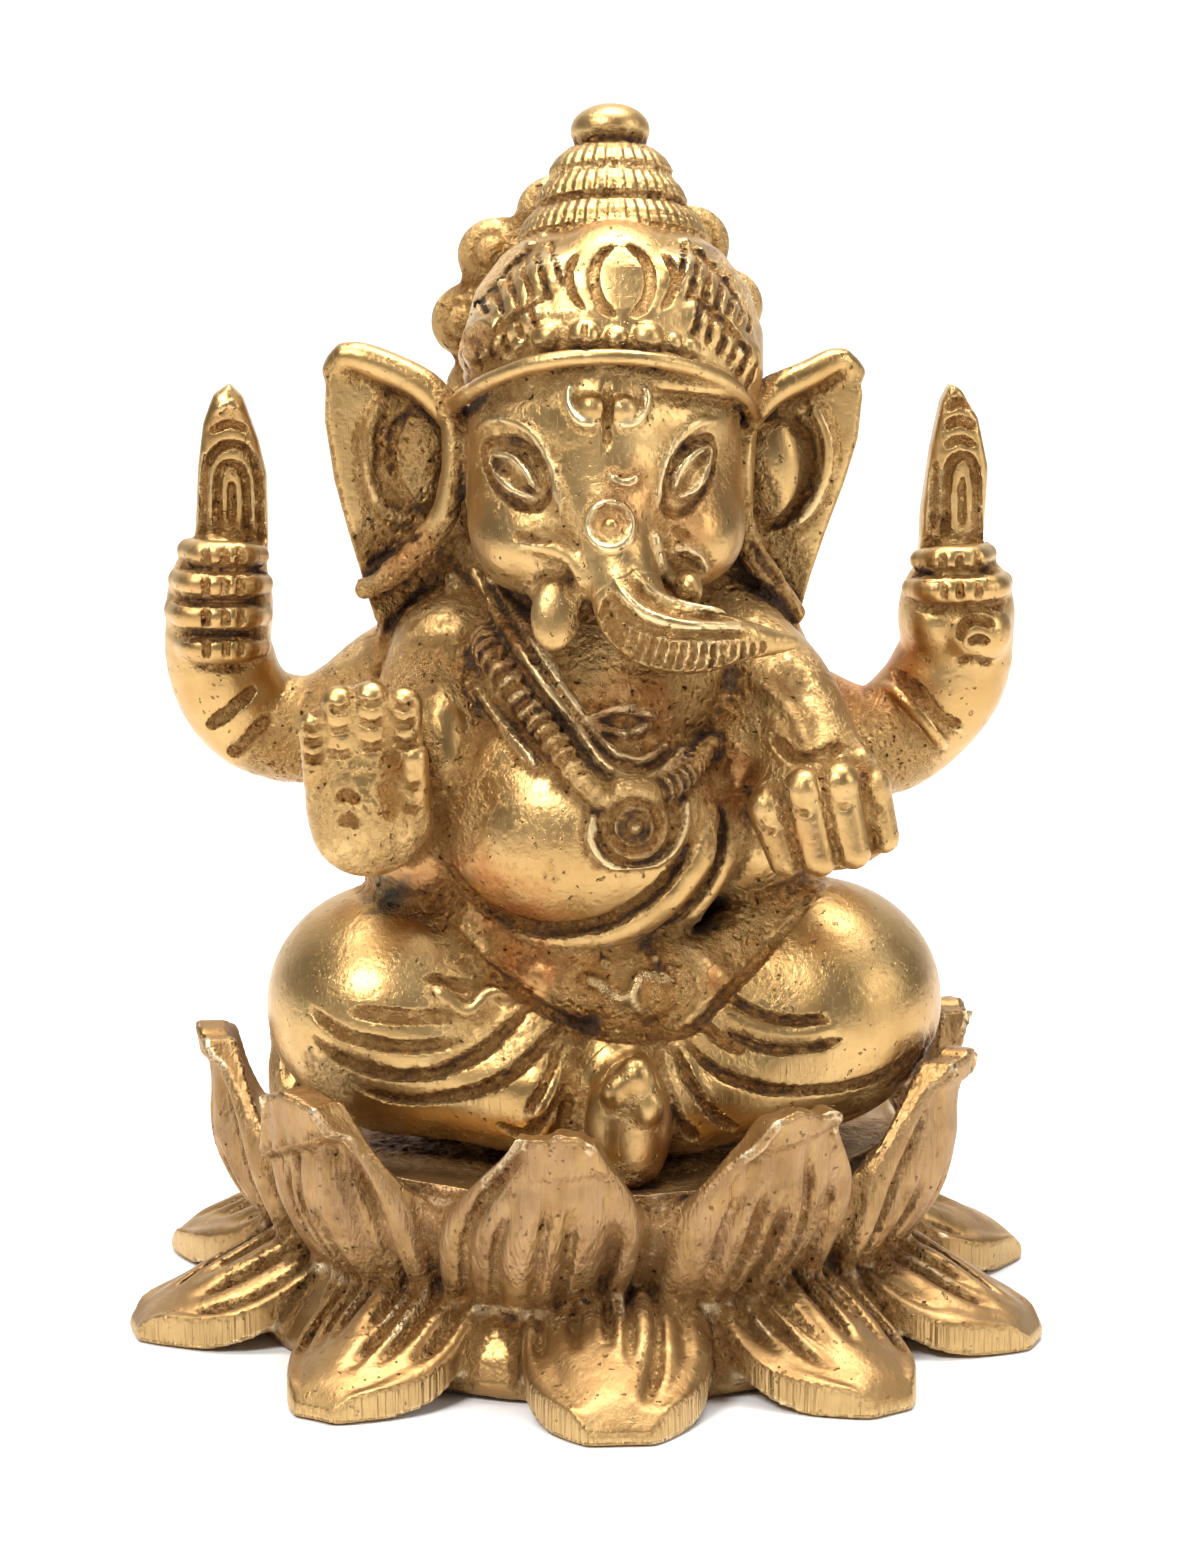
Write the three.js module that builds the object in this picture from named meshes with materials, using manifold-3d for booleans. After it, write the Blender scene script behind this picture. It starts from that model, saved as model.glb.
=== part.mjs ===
// Brass statue of a seated elephant-headed deity on a lotus base with two rows of petals.
// Millimetres, +Z up. The statue faces -Y and stands on Z = 0, centred on its lower petals.
// Two castings (the figure, and the lotus base) are held together by one screw from below.
// Each casting is divided into named sub-parts that meet with a small clearance.

import * as THREE from "three";
import { mergeVertices } from "three/addons/utils/BufferGeometryUtils.js";
import Module from "manifold-3d";

const wasm = await Module();
wasm.setup();

// ---------- driving dimensions ----------

const GAP = 0.3; // clearance between neighbouring sub-parts
const STANDING_RADIUS = 40; // tips of the lower petals
const CORE_RADIUS = 24.1; // round body of the lotus
const CORE_BOTTOM = 1.5;
const CORE_TOP = 12.9;
const CORE_WALL = 3.4;
const CORE_DECK = 2.9; // thickness of the deck on top of the hollow
const SEAT_RADIUS = 27;
const SEAT_TOP = 16.5;
const SCREW_RADIUS = 2.5; // M5
const SCREW_HEAD_RADIUS = 4.2;
const SCREW_HEAD_HEIGHT = 2.8;
const SCREW_REACH = 8; // length inside the figure
const WASHER_RADIUS = 5.6;
const WASHER_THICKNESS = 1;

const SPINE_X = 0.8; // the figure sits a little to one side of the lotus axis
const HEAD_CENTRE = [SPINE_X, -4, 72.5];
const CROWN_BASE = [1.5, -4.6, 78.2];
const CROWN_LEAN = THREE.MathUtils.degToRad(14); // the crown leans back
const ARM_PLANE_Y = 2; // the raised arms stand in this plane

// Hand-set spacing of the petals, in degrees from the front toward the figure's left.
const LOWER_PETAL_ANGLES = [1, 33, 66, 105, 143, 181, 213, 246, 285, 323];
const UPPER_PETAL_ANGLES = [-7, 28, 63, 98, 132, 166, 200, 233, 273, 314];

// ---------- materials ----------

const BRASS = { color: 0xb8924a, roughness: 0.32, metalness: 1 };
const AGED_BRASS = { color: 0x9a7740, roughness: 0.5, metalness: 1 };
const STEEL = { color: 0x8c8f92, roughness: 0.45, metalness: 1 };

// ---------- solids ----------

// Joins the coincident corners of a closed geometry and hands it over as a solid.
function solidOf(geometry) {
  geometry.deleteAttribute("normal");
  geometry.deleteAttribute("uv");
  const merged = mergeVertices(geometry, 1e-4);
  const corners = merged.index.array;
  const kept = [];
  for (let i = 0; i < corners.length; i += 3) {
    const [a, b, c] = [corners[i], corners[i + 1], corners[i + 2]];
    if (a !== b && b !== c && c !== a) {
      kept.push(a, b, c);
    }
  }
  const mesh = new wasm.Mesh({
    numProp: 3,
    vertProperties: Float32Array.from(merged.attributes.position.array),
    triVerts: Uint32Array.from(kept),
  });
  return new wasm.Manifold(mesh);
}

function geometryOf(solid) {
  const mesh = solid.getMesh();
  const geometry = new THREE.BufferGeometry();
  geometry.setAttribute("position", new THREE.BufferAttribute(mesh.vertProperties, 3));
  geometry.setIndex(new THREE.BufferAttribute(mesh.triVerts, 1));
  geometry.computeVertexNormals();
  return geometry;
}

function join(solids) {
  return solids.reduce((whole, solid) => whole.add(solid));
}

// Egg-shaped solid with its poles along Z.
function ball([x, y, z], [rx, ry, rz], grow = 0) {
  const geometry = new THREE.SphereGeometry(1, 14, 8);
  geometry.rotateX(Math.PI / 2);
  geometry.scale(rx + grow, ry + grow, rz + grow);
  geometry.translate(x, y, z);
  return solidOf(geometry);
}

// Rounded, tapering solid between two points: an arm, a finger, a stretch of trunk.
function limb(from, to, fromRadius, toRadius, grow = 0) {
  const start = new THREE.Vector3(...from);
  const end = new THREE.Vector3(...to);
  const length = start.distanceTo(end);
  const profile = [];
  const capSteps = 2;
  for (let i = 0; i <= capSteps; i += 1) {
    const angle = (Math.PI / 2) * (i / capSteps - 1);
    const radius = fromRadius + grow;
    profile.push(new THREE.Vector2(radius * Math.cos(angle), radius * Math.sin(angle)));
  }
  for (let i = 0; i <= capSteps; i += 1) {
    const angle = (Math.PI / 2) * (i / capSteps);
    const radius = toRadius + grow;
    profile.push(new THREE.Vector2(radius * Math.cos(angle), length + radius * Math.sin(angle)));
  }
  profile[0].x = 0;
  profile[profile.length - 1].x = 0;
  const geometry = new THREE.LatheGeometry(profile, 10);
  const along = end.clone().sub(start).normalize();
  geometry.applyQuaternion(new THREE.Quaternion().setFromUnitVectors(new THREE.Vector3(0, 1, 0), along));
  geometry.translate(start.x, start.y, start.z);
  return solidOf(geometry);
}

// A chain of limbs through [point, radius] stations.
function limbChain(stations, grow = 0) {
  const pieces = [];
  for (let i = 1; i < stations.length; i += 1) {
    const [from, fromRadius] = stations[i - 1];
    const [to, toRadius] = stations[i];
    pieces.push(limb(from, to, fromRadius, toRadius, grow));
  }
  return join(pieces);
}

// Round cord laid along points over the body.
function cord(points, radius, steps, grow = 0) {
  const section = new THREE.Shape();
  section.absarc(0, 0, radius + grow, 0, 2 * Math.PI);
  const path = new THREE.CatmullRomCurve3(points.map((point) => new THREE.Vector3(...point)));
  const geometry = new THREE.ExtrudeGeometry(section, { steps, curveSegments: 4, extrudePath: path });
  return solidOf(geometry);
}

// Upright plate in the XZ plane: the outline runs anticlockwise as seen from the front.
function uprightPlate(outline, frontY, thickness) {
  const shape = new THREE.Shape(new THREE.SplineCurve(outline.map(([x, z]) => new THREE.Vector2(x, z))).getPoints(16));
  const geometry = new THREE.ExtrudeGeometry(shape, { depth: thickness, bevelEnabled: false });
  geometry.rotateX(Math.PI / 2);
  geometry.translate(0, frontY + thickness, 0);
  return solidOf(geometry);
}

// Solid of revolution about Z from [radius, height] points that go up the outside.
function turned(profile, sides = 32) {
  const points = profile.map(([radius, height]) => new THREE.Vector2(radius, height));
  const geometry = new THREE.LatheGeometry(points, sides);
  geometry.rotateX(Math.PI / 2);
  return solidOf(geometry);
}

// Everything on the crown is shaped upright and then leaned back with it.
function onCrown(solid) {
  const matrix = new THREE.Matrix4().makeRotationX(-CROWN_LEAN);
  matrix.setPosition(...CROWN_BASE);
  const geometry = geometryOf(solid);
  geometry.applyMatrix4(matrix);
  return solidOf(geometry);
}

function crownDrum(bottom, top, bottomRadius, topRadius, grow = 0) {
  const low = bottom - grow;
  const high = top + grow;
  return onCrown(turned([
    [0, low],
    [bottomRadius + grow, low],
    [topRadius + grow, high],
    [0, high],
  ], 24));
}

// Cuts away what lies below a height, which leaves a flat underside.
function flatBelow(solid, height) {
  const block = new THREE.BoxGeometry(200, 200, 100);
  block.translate(0, 0, height - 50);
  return solid.subtract(solidOf(block));
}

// ---------- petals ----------

// A petal is a box bent to shape. Each station across its length gives the middle and the edge
// of both skins; the skin between them follows a parabola.
function petal(stations, place) {
  const across = 4;
  const geometry = new THREE.BoxGeometry(2, 1, 1, across, stations.length - 1, 1);
  const position = geometry.attributes.position;
  for (let i = 0; i < position.count; i += 1) {
    const side = position.getX(i);
    const row = Math.round((position.getY(i) + 0.5) * (stations.length - 1));
    const station = stations[row];
    const skin = position.getZ(i) > 0 ? station.outer : station.inner;
    const level = skin[0] + (skin[1] - skin[0]) * side * side;
    position.setXYZ(i, ...place(side * station.halfWidth, station.at, level));
  }
  return geometry;
}

// Lower petals run outward and down to the ground: `at` is the radius, skins are heights.
const LOWER_STATIONS = [
  { at: CORE_RADIUS + GAP, halfWidth: 6.6, outer: [9.2, 7.4], inner: [5.0, 4.0] },
  { at: 27, halfWidth: 7.4, outer: [8.7, 6.4], inner: [4.4, 3.2] },
  { at: 30, halfWidth: 8.2, outer: [7.4, 4.8], inner: [3.0, 2.0] },
  { at: 33, halfWidth: 7.9, outer: [6.0, 3.5], inner: [1.6, 1.0] },
  { at: 35.6, halfWidth: 6.2, outer: [4.8, 2.8], inner: [0, 0] },
  { at: 38.2, halfWidth: 3.6, outer: [3.4, 2.4], inner: [0, 0] },
  { at: STANDING_RADIUS, halfWidth: 1.2, outer: [2.4, 2.1], inner: [0, 0] },
];

// Upper petals stand up around the seat: `at` is the height, skins are radii.
const UPPER_STATIONS = [
  { at: 9.6, halfWidth: 6.6, outer: [27.0, 26.0], inner: [24.4, 24.4] },
  { at: 11.4, halfWidth: 7.3, outer: [29.8, 27.6], inner: [25.4, 25.2] },
  { at: 14.2, halfWidth: 7.9, outer: [31.8, 29.0], inner: [27.6, 27.3] },
  { at: 17.2, halfWidth: 7.9, outer: [32.6, 29.6], inner: [29.4, 27.9] },
  { at: 20.2, halfWidth: 6.8, outer: [33.0, 30.8], inner: [30.6, 29.2] },
  { at: 22.8, halfWidth: 4.4, outer: [33.6, 32.2], inner: [31.6, 31.0] },
  { at: 24.6, halfWidth: 1.4, outer: [34.2, 33.8], inner: [32.8, 32.6] },
];

// ---------- sub-parts of the lotus base and its fixing ----------

function lotusCore() {
  const innerRadius = CORE_RADIUS - CORE_WALL;
  const deckUnder = CORE_TOP - CORE_DECK;
  const hole = SCREW_RADIUS + GAP;
  return turned([
    [hole, deckUnder],
    [innerRadius, deckUnder],
    [innerRadius, CORE_BOTTOM],
    [CORE_RADIUS, CORE_BOTTOM],
    [CORE_RADIUS, CORE_TOP],
    [hole, CORE_TOP],
    [hole, deckUnder],
  ], 32);
}

function seatPlate() {
  const bottom = CORE_TOP + GAP;
  const hole = SCREW_RADIUS + GAP;
  return turned([
    [hole, bottom],
    [SEAT_RADIUS - 1.2, bottom],
    [SEAT_RADIUS, SEAT_TOP - 1],
    [SEAT_RADIUS - 0.6, SEAT_TOP],
    [hole, SEAT_TOP],
    [hole, bottom],
  ], 32);
}

const WASHER_TOP = CORE_TOP - CORE_DECK - GAP;
const SCREW_HEAD_TOP = WASHER_TOP - WASHER_THICKNESS - GAP;

function washer() {
  const bottom = WASHER_TOP - WASHER_THICKNESS;
  const hole = SCREW_RADIUS + GAP;
  return turned([
    [hole, bottom],
    [WASHER_RADIUS, bottom],
    [WASHER_RADIUS, WASHER_TOP],
    [hole, WASHER_TOP],
    [hole, bottom],
  ], 24);
}

function fixingScrew(grow = 0) {
  const headBottom = SCREW_HEAD_TOP - SCREW_HEAD_HEIGHT;
  return turned([
    [0, headBottom - grow],
    [SCREW_HEAD_RADIUS + grow, headBottom - grow],
    [SCREW_HEAD_RADIUS + grow, SCREW_HEAD_TOP + grow],
    [SCREW_RADIUS + grow, SCREW_HEAD_TOP + grow],
    [SCREW_RADIUS + grow, SEAT_TOP + SCREW_REACH + grow],
    [0, SEAT_TOP + SCREW_REACH + grow],
  ], 16);
}

// ---------- sub-parts of the figure ----------
// `side` is -1 for the figure's right half (at -X) and +1 for its left half.

function hips(grow = 0) {
  return flatBelow(ball([SPINE_X, -1, 26], [20, 14.5, 11.5], grow), SEAT_TOP + GAP - grow);
}

function belly(grow = 0) {
  return ball([-0.8, -5.2, 44.2], [13.8, 15, 12.6], grow);
}

function torso(grow = 0) {
  const trunkOfBody = ball([SPINE_X, 1, 51], [14, 9.6, 14.5], grow);
  const shoulders = limb([-10.5, 0.5, 56.5], [12.5, 0.5, 55.5], 6.4, 6.4, grow);
  return trunkOfBody.add(shoulders);
}

function leg(side, grow = 0) {
  const hip = [SPINE_X + side * 9, -1, 27.5];
  const knee = [SPINE_X + side * 18.2, -6.8, 27.6];
  const underKnee = [SPINE_X + side * 17.6, -8.5, 25.6];
  const ankle = [SPINE_X + side * 4.5, -17, 23];
  const thigh = limb(hip, knee, 9.8, 9.6, grow);
  const shin = limb(underKnee, ankle, 7.6, 4.9, grow);
  return flatBelow(thigh.add(shin), SEAT_TOP + GAP - grow);
}

function foot(grow = 0) {
  return limbChain([[[0.6, -19, 27.4], 3.2], [[1.4, -23.2, 20.2], 2.7]], grow);
}

function waistSash(grow = 0) {
  const line = [[-14, -9, 38.6], [-9.5, -16, 35.8], [-3, -19.6, 34.2], [3, -19.4, 34.8], [8.2, -16.4, 38.4], [12.2, -9, 45]];
  return cord(line, 1.9, 11, grow);
}

function apronFold(grow = 0) {
  return limbChain([[[0.8, -15.5, 32.4], 4.4], [[2.4, -19.6, 29.6], 2]], grow);
}

function head(grow = 0) {
  const skull = ball(HEAD_CENTRE, [11.6, 12.6, 11], grow);
  const jowls = limb([-4.2, -8.6, 66.6], [5.8, -8.6, 66.6], 5.4, 5.4, grow);
  return skull.add(jowls);
}

function trunk(grow = 0) {
  return limbChain([
    [[SPINE_X, -13.4, 74], 4.8],
    [[0, -19, 66], 4],
    [[1.6, -20.9, 61], 3.6],
    [[6.6, -20.8, 59], 2.8],
    [[13.6, -19.4, 59.4], 1.5],
  ], grow);
}

function tusk(side, grow = 0) {
  const rightTusk = side < 0;
  const rootRadius = rightTusk ? 2.4 : 1.9;
  const tipRadius = rightTusk ? 1.7 : 1.3;
  const root = [SPINE_X + side * 5.2, -13.8, 64.6];
  const tip = rightTusk ? [-4.8, -20.2, 61.6] : [7.6, -17.8, 63.2];
  return limbChain([[root, rootRadius], [tip, tipRadius]], grow);
}

// The ears are broad upright fans with a pointed lower corner.
function ear(side) {
  const fan = [[10, 78.4], [15, 81], [20, 82], [22, 79.4], [21.2, 74], [19, 66], [17, 59], [14.2, 61.4], [10.4, 63.4]];
  const placed = fan.map(([x, z]) => [SPINE_X + side * x, z]);
  const outline = side < 0 ? placed : placed.reverse();
  outline.push(outline[0]);
  return uprightPlate(outline, -1.2, 2.8);
}

function crownRim(grow = 0) {
  return crownDrum(-1.6, 1.3, 12.8, 12.6, grow);
}

function crownDome(grow = 0) {
  const low = 1.6 - grow;
  return onCrown(turned([
    [0, low],
    [12.2 + grow, low],
    [12 + grow, 5.6],
    [10.2 + grow, 9.4],
    [7.2 + grow, 12.6 + grow],
    [0, 12.6 + grow],
  ], 24));
}

function crownPlaque(grow = 0) {
  return onCrown(ball([0, -11.2, 7.4], [4.8, 2, 4.8], grow));
}

const CROWN_TIERS = [
  { name: "crown_tier_lower", bottom: 12.9, top: 15.6, bottomRadius: 7.4, topRadius: 6.6 },
  { name: "crown_tier_middle", bottom: 15.9, top: 18.2, bottomRadius: 5.9, topRadius: 5.2 },
  { name: "crown_tier_upper", bottom: 18.5, top: 20.2, bottomRadius: 4.6, topRadius: 3.2 },
];

function crownFinial(grow = 0) {
  return onCrown(ball([0, 0, 21.6], [3.3, 3.3, 2.7], grow));
}

// Scalloped disc of curls behind the crown.
function backDisc() {
  const centre = [1.6, 83];
  const lobes = 9;
  const outline = [];
  for (let i = 0; i <= lobes * 4; i += 1) {
    const angle = (2 * Math.PI * i) / (lobes * 4);
    const radius = 13.8 + 0.9 * Math.abs(Math.sin((angle * lobes) / 2));
    outline.push([centre[0] + radius * Math.cos(angle), centre[1] + radius * Math.sin(angle)]);
  }
  const shape = new THREE.Shape(outline.map(([x, z]) => new THREE.Vector2(x, z)));
  const geometry = new THREE.ExtrudeGeometry(shape, { depth: 3, bevelEnabled: false });
  geometry.rotateX(Math.PI / 2);
  geometry.translate(0, 11.4, 0);
  return solidOf(geometry);
}

function garland(grow = 0) {
  const line = [[-12.2, -9, 62.4], [-9.8, -12.8, 58.4], [-7, -16, 54.4], [-3.4, -18.8, 50], [1, -20, 47.8], [5.4, -19, 48.6], [9.2, -15.8, 51.6], [11.6, -11, 56]];
  return cord(line, 1.25, 13, grow);
}

function pendant(grow = 0) {
  return ball([2.2, -19.9, 45], [3.4, 1.5, 3.4], grow);
}

function collar() {
  const line = [[-8.6, -9.4, 60], [-5.4, -13, 56.4], [0, -15.6, 53.6], [5, -14.4, 54.8], [9, -10.4, 58.6]];
  return cord(line, 1.1, 9);
}

function rearArm(side, grow = 0) {
  const drop = side < 0 ? 0 : 1; // the figure's left elbow hangs a little lower
  return limbChain([
    [[SPINE_X + side * 13, 3, 55], 5.4],
    [[SPINE_X + side * 23.2, 3, 49.4 - drop], 4.3],
    [[SPINE_X + side * 29.8, 2.6, 52.2], 4.5],
    [[SPINE_X + side * 31.4, ARM_PLANE_Y, 56.5], 4.5],
  ], grow);
}

function rearFist(side, grow = 0) {
  const height = side < 0 ? 61.2 : 59.8;
  return ball([SPINE_X + side * 31.4, ARM_PLANE_Y - 0.6, height], [4.8, 4.5, 4.8], grow);
}

// Leaf-shaped emblem held upright in the raised fist.
function emblem(side) {
  const middle = side < 0 ? -30 : 31;
  const outline = [[0.2, 79], [-2, 75.6], [-3.1, 70], [-3.2, 62], [3.2, 62], [3.1, 70], [2, 75.6], [0.2, 79]];
  return uprightPlate(outline.map(([x, z]) => [middle + x, z]), ARM_PLANE_Y - 2, 3);
}

function frontArm(side, grow = 0) {
  const stations = side < 0
    ? [[[-11.6, -3.5, 56], 5.4], [[-16, -9, 48.4], 4.6], [[-17.8, -13.6, 45.4], 3.8]]
    : [[[12.2, -4.5, 56.4], 5.2], [[16.4, -12, 50.8], 4.3], [[17.6, -15.6, 47.6], 3.8]];
  return limbChain(stations, grow);
}

// Open right hand, palm to the front: [x, height of the fingertip] for each finger.
function openHand(grow = 0) {
  const fingers = [[-23.1, 54], [-21.1, 55.6], [-18.7, 56.6], [-16.3, 56.4]];
  const pieces = fingers.map(([x, tip]) => limb([x, -18.4, 49.4], [x, -18.8, tip - 1.2], 1.3, 1.1, grow));
  pieces.push(ball([-18.9, -17.9, 47], [5.3, 2.5, 6.4], grow));
  pieces.push(limb([-15, -18.6, 46.6], [-14.8, -19.4, 51.4], 1.5, 1.1, grow));
  return join(pieces);
}

// Closed left hand with four fingers curled over the front.
function closedHand(grow = 0) {
  const pieces = [ball([17.7, -17.4, 46.4], [6, 4.2, 4.7], grow)];
  for (const x of [13.4, 16.2, 19, 21.7]) {
    pieces.push(limb([x, -20, 48.6], [x, -20.6, 43.8], 1.5, 1.3, grow));
  }
  return join(pieces);
}

// ---------- assembly ----------

// Keeps the main body when a cut leaves loose slivers.
function mainBody(solid) {
  const bodies = solid.decompose();
  return bodies.reduce((largest, body) => (body.volume() > largest.volume() ? body : largest));
}

const statue = new THREE.Group();

function addMesh(parent, name, geometry, material) {
  const mesh = new THREE.Mesh(geometry, new THREE.MeshStandardMaterial(material));
  mesh.name = name;
  parent.add(mesh);
  return mesh;
}

function addPetals(name, angles, geometryMaker) {
  const ring = new THREE.Group();
  angles.forEach((angle, index) => {
    const mesh = addMesh(ring, `${name}_${index + 1}`, geometryMaker(), BRASS);
    mesh.rotation.z = THREE.MathUtils.degToRad(angle);
  });
  statue.add(ring);
}

addPetals("lower_petal", LOWER_PETAL_ANGLES, () => petal(LOWER_STATIONS, (x, radius, height) => [-x, -radius, height]));
addPetals("upper_petal", UPPER_PETAL_ANGLES, () => petal(UPPER_STATIONS, (x, height, radius) => [x, -radius, height]));
addMesh(statue, "lotus_core", geometryOf(lotusCore()), AGED_BRASS);
addMesh(statue, "seat_plate", geometryOf(seatPlate()), AGED_BRASS);
addMesh(statue, "washer", geometryOf(washer()), STEEL);
addMesh(statue, "fixing_screw", geometryOf(fixingScrew()), STEEL);

// Each sub-part of the figure gives way to all that stand before it in this list.
const FIGURE = [
  ["hips", hips],
  ["belly", belly],
  ["torso", torso],
  ["right_leg", (grow) => leg(-1, grow)],
  ["left_leg", (grow) => leg(1, grow)],
  ["waist_sash", waistSash],
  ["apron_fold", apronFold],
  ["right_foot", foot],
  ["head", head],
  ["right_tusk", (grow) => tusk(-1, grow)],
  ["left_tusk", (grow) => tusk(1, grow)],
  ["trunk", trunk],
  ["crown_rim", crownRim],
  ["crown_dome", crownDome],
  ["crown_plaque", crownPlaque],
  ...CROWN_TIERS.map(({ name, bottom, top, bottomRadius, topRadius }) => [
    name,
    (grow) => crownDrum(bottom, top, bottomRadius, topRadius, grow),
  ]),
  ["crown_finial", crownFinial],
  ["right_front_hand", openHand],
  ["left_front_hand", closedHand],
  ["right_front_arm", (grow) => frontArm(-1, grow)],
  ["left_front_arm", (grow) => frontArm(1, grow)],
  ["right_rear_fist", (grow) => rearFist(-1, grow)],
  ["left_rear_fist", (grow) => rearFist(1, grow)],
  ["right_rear_arm", (grow) => rearArm(-1, grow)],
  ["left_rear_arm", (grow) => rearArm(1, grow)],
  ["pendant", pendant],
  ["garland", garland],
  ["collar", collar],
  ["right_emblem", () => emblem(-1)],
  ["left_emblem", () => emblem(1)],
  ["right_ear", () => ear(-1)],
  ["left_ear", () => ear(1)],
  ["back_disc", backDisc],
];

const cutters = [fixingScrew(GAP)];
for (const [name, shape] of FIGURE) {
  const whole = shape(0);
  const fitted = cutters.reduce((solid, cutter) => solid.subtract(cutter), whole);
  addMesh(statue, name, geometryOf(mainBody(fitted)), BRASS);
  cutters.push(shape(GAP));
}

export default statue;
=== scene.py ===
import math
from itertools import product

import bpy
import numpy as np
from mathutils import Euler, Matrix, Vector


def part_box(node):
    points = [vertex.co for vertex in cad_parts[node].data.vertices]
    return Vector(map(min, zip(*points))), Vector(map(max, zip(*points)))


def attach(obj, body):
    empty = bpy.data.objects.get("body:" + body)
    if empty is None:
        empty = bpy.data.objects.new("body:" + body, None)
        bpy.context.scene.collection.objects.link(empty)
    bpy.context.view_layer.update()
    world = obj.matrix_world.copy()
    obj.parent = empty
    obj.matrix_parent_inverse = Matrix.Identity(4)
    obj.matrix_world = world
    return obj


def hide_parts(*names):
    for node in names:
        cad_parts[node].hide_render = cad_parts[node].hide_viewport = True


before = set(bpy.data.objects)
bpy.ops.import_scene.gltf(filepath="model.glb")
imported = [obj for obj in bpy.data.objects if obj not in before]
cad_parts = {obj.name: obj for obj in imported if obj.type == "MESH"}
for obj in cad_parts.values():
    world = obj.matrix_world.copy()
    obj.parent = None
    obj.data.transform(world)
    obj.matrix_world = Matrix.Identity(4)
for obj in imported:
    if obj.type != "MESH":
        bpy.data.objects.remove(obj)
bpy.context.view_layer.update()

# The castings are modelled as clay: signed distances in millimetres on a regular grid, negative
# inside, with every lump added and every line cut by figures given in the frame's own axes
# (+X toward the figure's left, -Y to the front, +Z up, origin under the middle of the lotus).

MM = 0.001
FAR = 9.0
REACH = 3.0  # how far around a lump its distances are worked out
FIGURE_STEP = 0.26
LOTUS_STEP = 0.34
KEPT = 0.32  # share of the faces left after flat and hidden stretches are thinned out
SHARE = 0.95  # how far each piece runs into its neighbours, so that fillets belong to both
RANK_GAP = 0.012  # how much lower each rank's surface lies than the one before it
GRAIN_DEPTH = 0.24  # height of the sand's grain in rough places
BURIED_FACTOR = 3.0  # how much more readily hidden faces are thinned out
FLOOR_GAP = 0.05  # the lotus stays this far above the floor
LATTICE_SIZE = 64  # lumps of seeded noise along each side of the block they repeat from
PETALS = 10  # in each row
SPINE_X = 0.8
SEAT_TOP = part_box("seat_plate")[1][2] / MM
CORE_LOW, CORE_HIGH = [np.array(corner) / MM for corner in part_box("lotus_core")]
PLATE_LOW, PLATE_HIGH = [np.array(corner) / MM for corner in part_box("seat_plate")]


# ---------- clay ----------

def smooth_min(a, b, soft):
    if soft <= 0:
        return np.minimum(a, b)
    h = np.clip(0.5 + 0.5 * (b - a) / soft, 0, 1)
    return b + (a - b) * h - soft * h * (1 - h)


def smooth_max(a, b, soft):
    return -smooth_min(-a, -b, soft)


def corner_shares(part):
    """The eight corners of the cell round each point, with the share each one counts for."""
    for steps in product((0, 1), repeat=3):
        x, y, z = [part[:, k] if step else 1 - part[:, k] for k, step in enumerate(steps)]
        yield steps, x * y * z


class Clay:
    """A block of signed distances whose grid lines up with every other block of its step."""

    def __init__(self, low, high, step):
        self.step = step
        self.first = np.floor(np.array(low) / step).astype(int)
        last = np.ceil(np.array(high) / step).astype(int)
        self.field = np.full(last - self.first + 1, FAR, np.float32)

    def window(self, low, high):
        size = np.array(self.field.shape)
        start = np.clip(np.floor(np.array(low) / self.step).astype(int) - self.first, 0, size)
        stop = np.clip(np.ceil(np.array(high) / self.step).astype(int) - self.first + 1, 0, size)
        lines = [
            ((self.first[i] + np.arange(start[i], stop[i])) * self.step).astype(np.float32)
            for i in range(3)
        ]
        place = tuple(slice(a, b) for a, b in zip(start, stop))
        return place, lines[0][:, None, None], lines[1][None, :, None], lines[2][None, None, :]

    def union(self, lumps, soft):
        """The window that some lumps fill, and their joint distance in it."""
        pad = REACH + soft
        low = np.min([lump[0] for lump in lumps], axis=0) - pad
        high = np.max([lump[1] for lump in lumps], axis=0) + pad
        place, *_ = self.window(low, high)
        joint = np.full([s.stop - s.start for s in place], FAR, np.float32)
        for lump_low, lump_high, distance in lumps:
            inner, x, y, z = self.window(np.array(lump_low) - pad, np.array(lump_high) + pad)
            local = tuple(slice(a.start - b.start, a.stop - b.start) for a, b in zip(inner, place))
            if 0 in joint[local].shape:
                continue
            joint[local] = np.minimum(joint[local], distance(x, y, z))
        return place, joint

    def add(self, *lumps, soft=0.0):
        place, joint = self.union(lumps, soft)
        self.field[place] = smooth_min(self.field[place], joint, soft)

    def cut(self, *lumps, soft=0.0):
        place, joint = self.union(lumps, soft)
        self.field[place] = smooth_max(self.field[place], -joint, soft)

    def merge(self, other, soft=0.0):
        place = tuple(
            slice(a - b, a - b + n) for a, b, n in zip(other.first, self.first, other.field.shape)
        )
        self.field[place] = smooth_min(self.field[place], other.field, soft)

    def sample(self, points):
        """Distances at points, read between the grid's corners."""
        spot = points / self.step - self.first
        spot = np.clip(spot, 0, np.array(self.field.shape) - 1.001)
        corner = spot.astype(int)
        part = (spot - corner).astype(np.float32)
        total = np.zeros(len(points), np.float32)
        for (dx, dy, dz), share in corner_shares(part):
            total += share * self.field[corner[:, 0] + dx, corner[:, 1] + dy, corner[:, 2] + dz]
        return total

    def outward(self, points):
        """Unit directions in which the distance grows."""
        shift = self.step * 0.7
        slope = np.stack(
            [
                self.sample(points + shift * axis) - self.sample(points - shift * axis)
                for axis in np.eye(3)
            ],
            axis=1,
        )
        return slope / np.maximum(np.linalg.norm(slope, axis=1, keepdims=True), 1e-6)


# ---------- lumps: (low corner, high corner, distance) ----------

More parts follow.
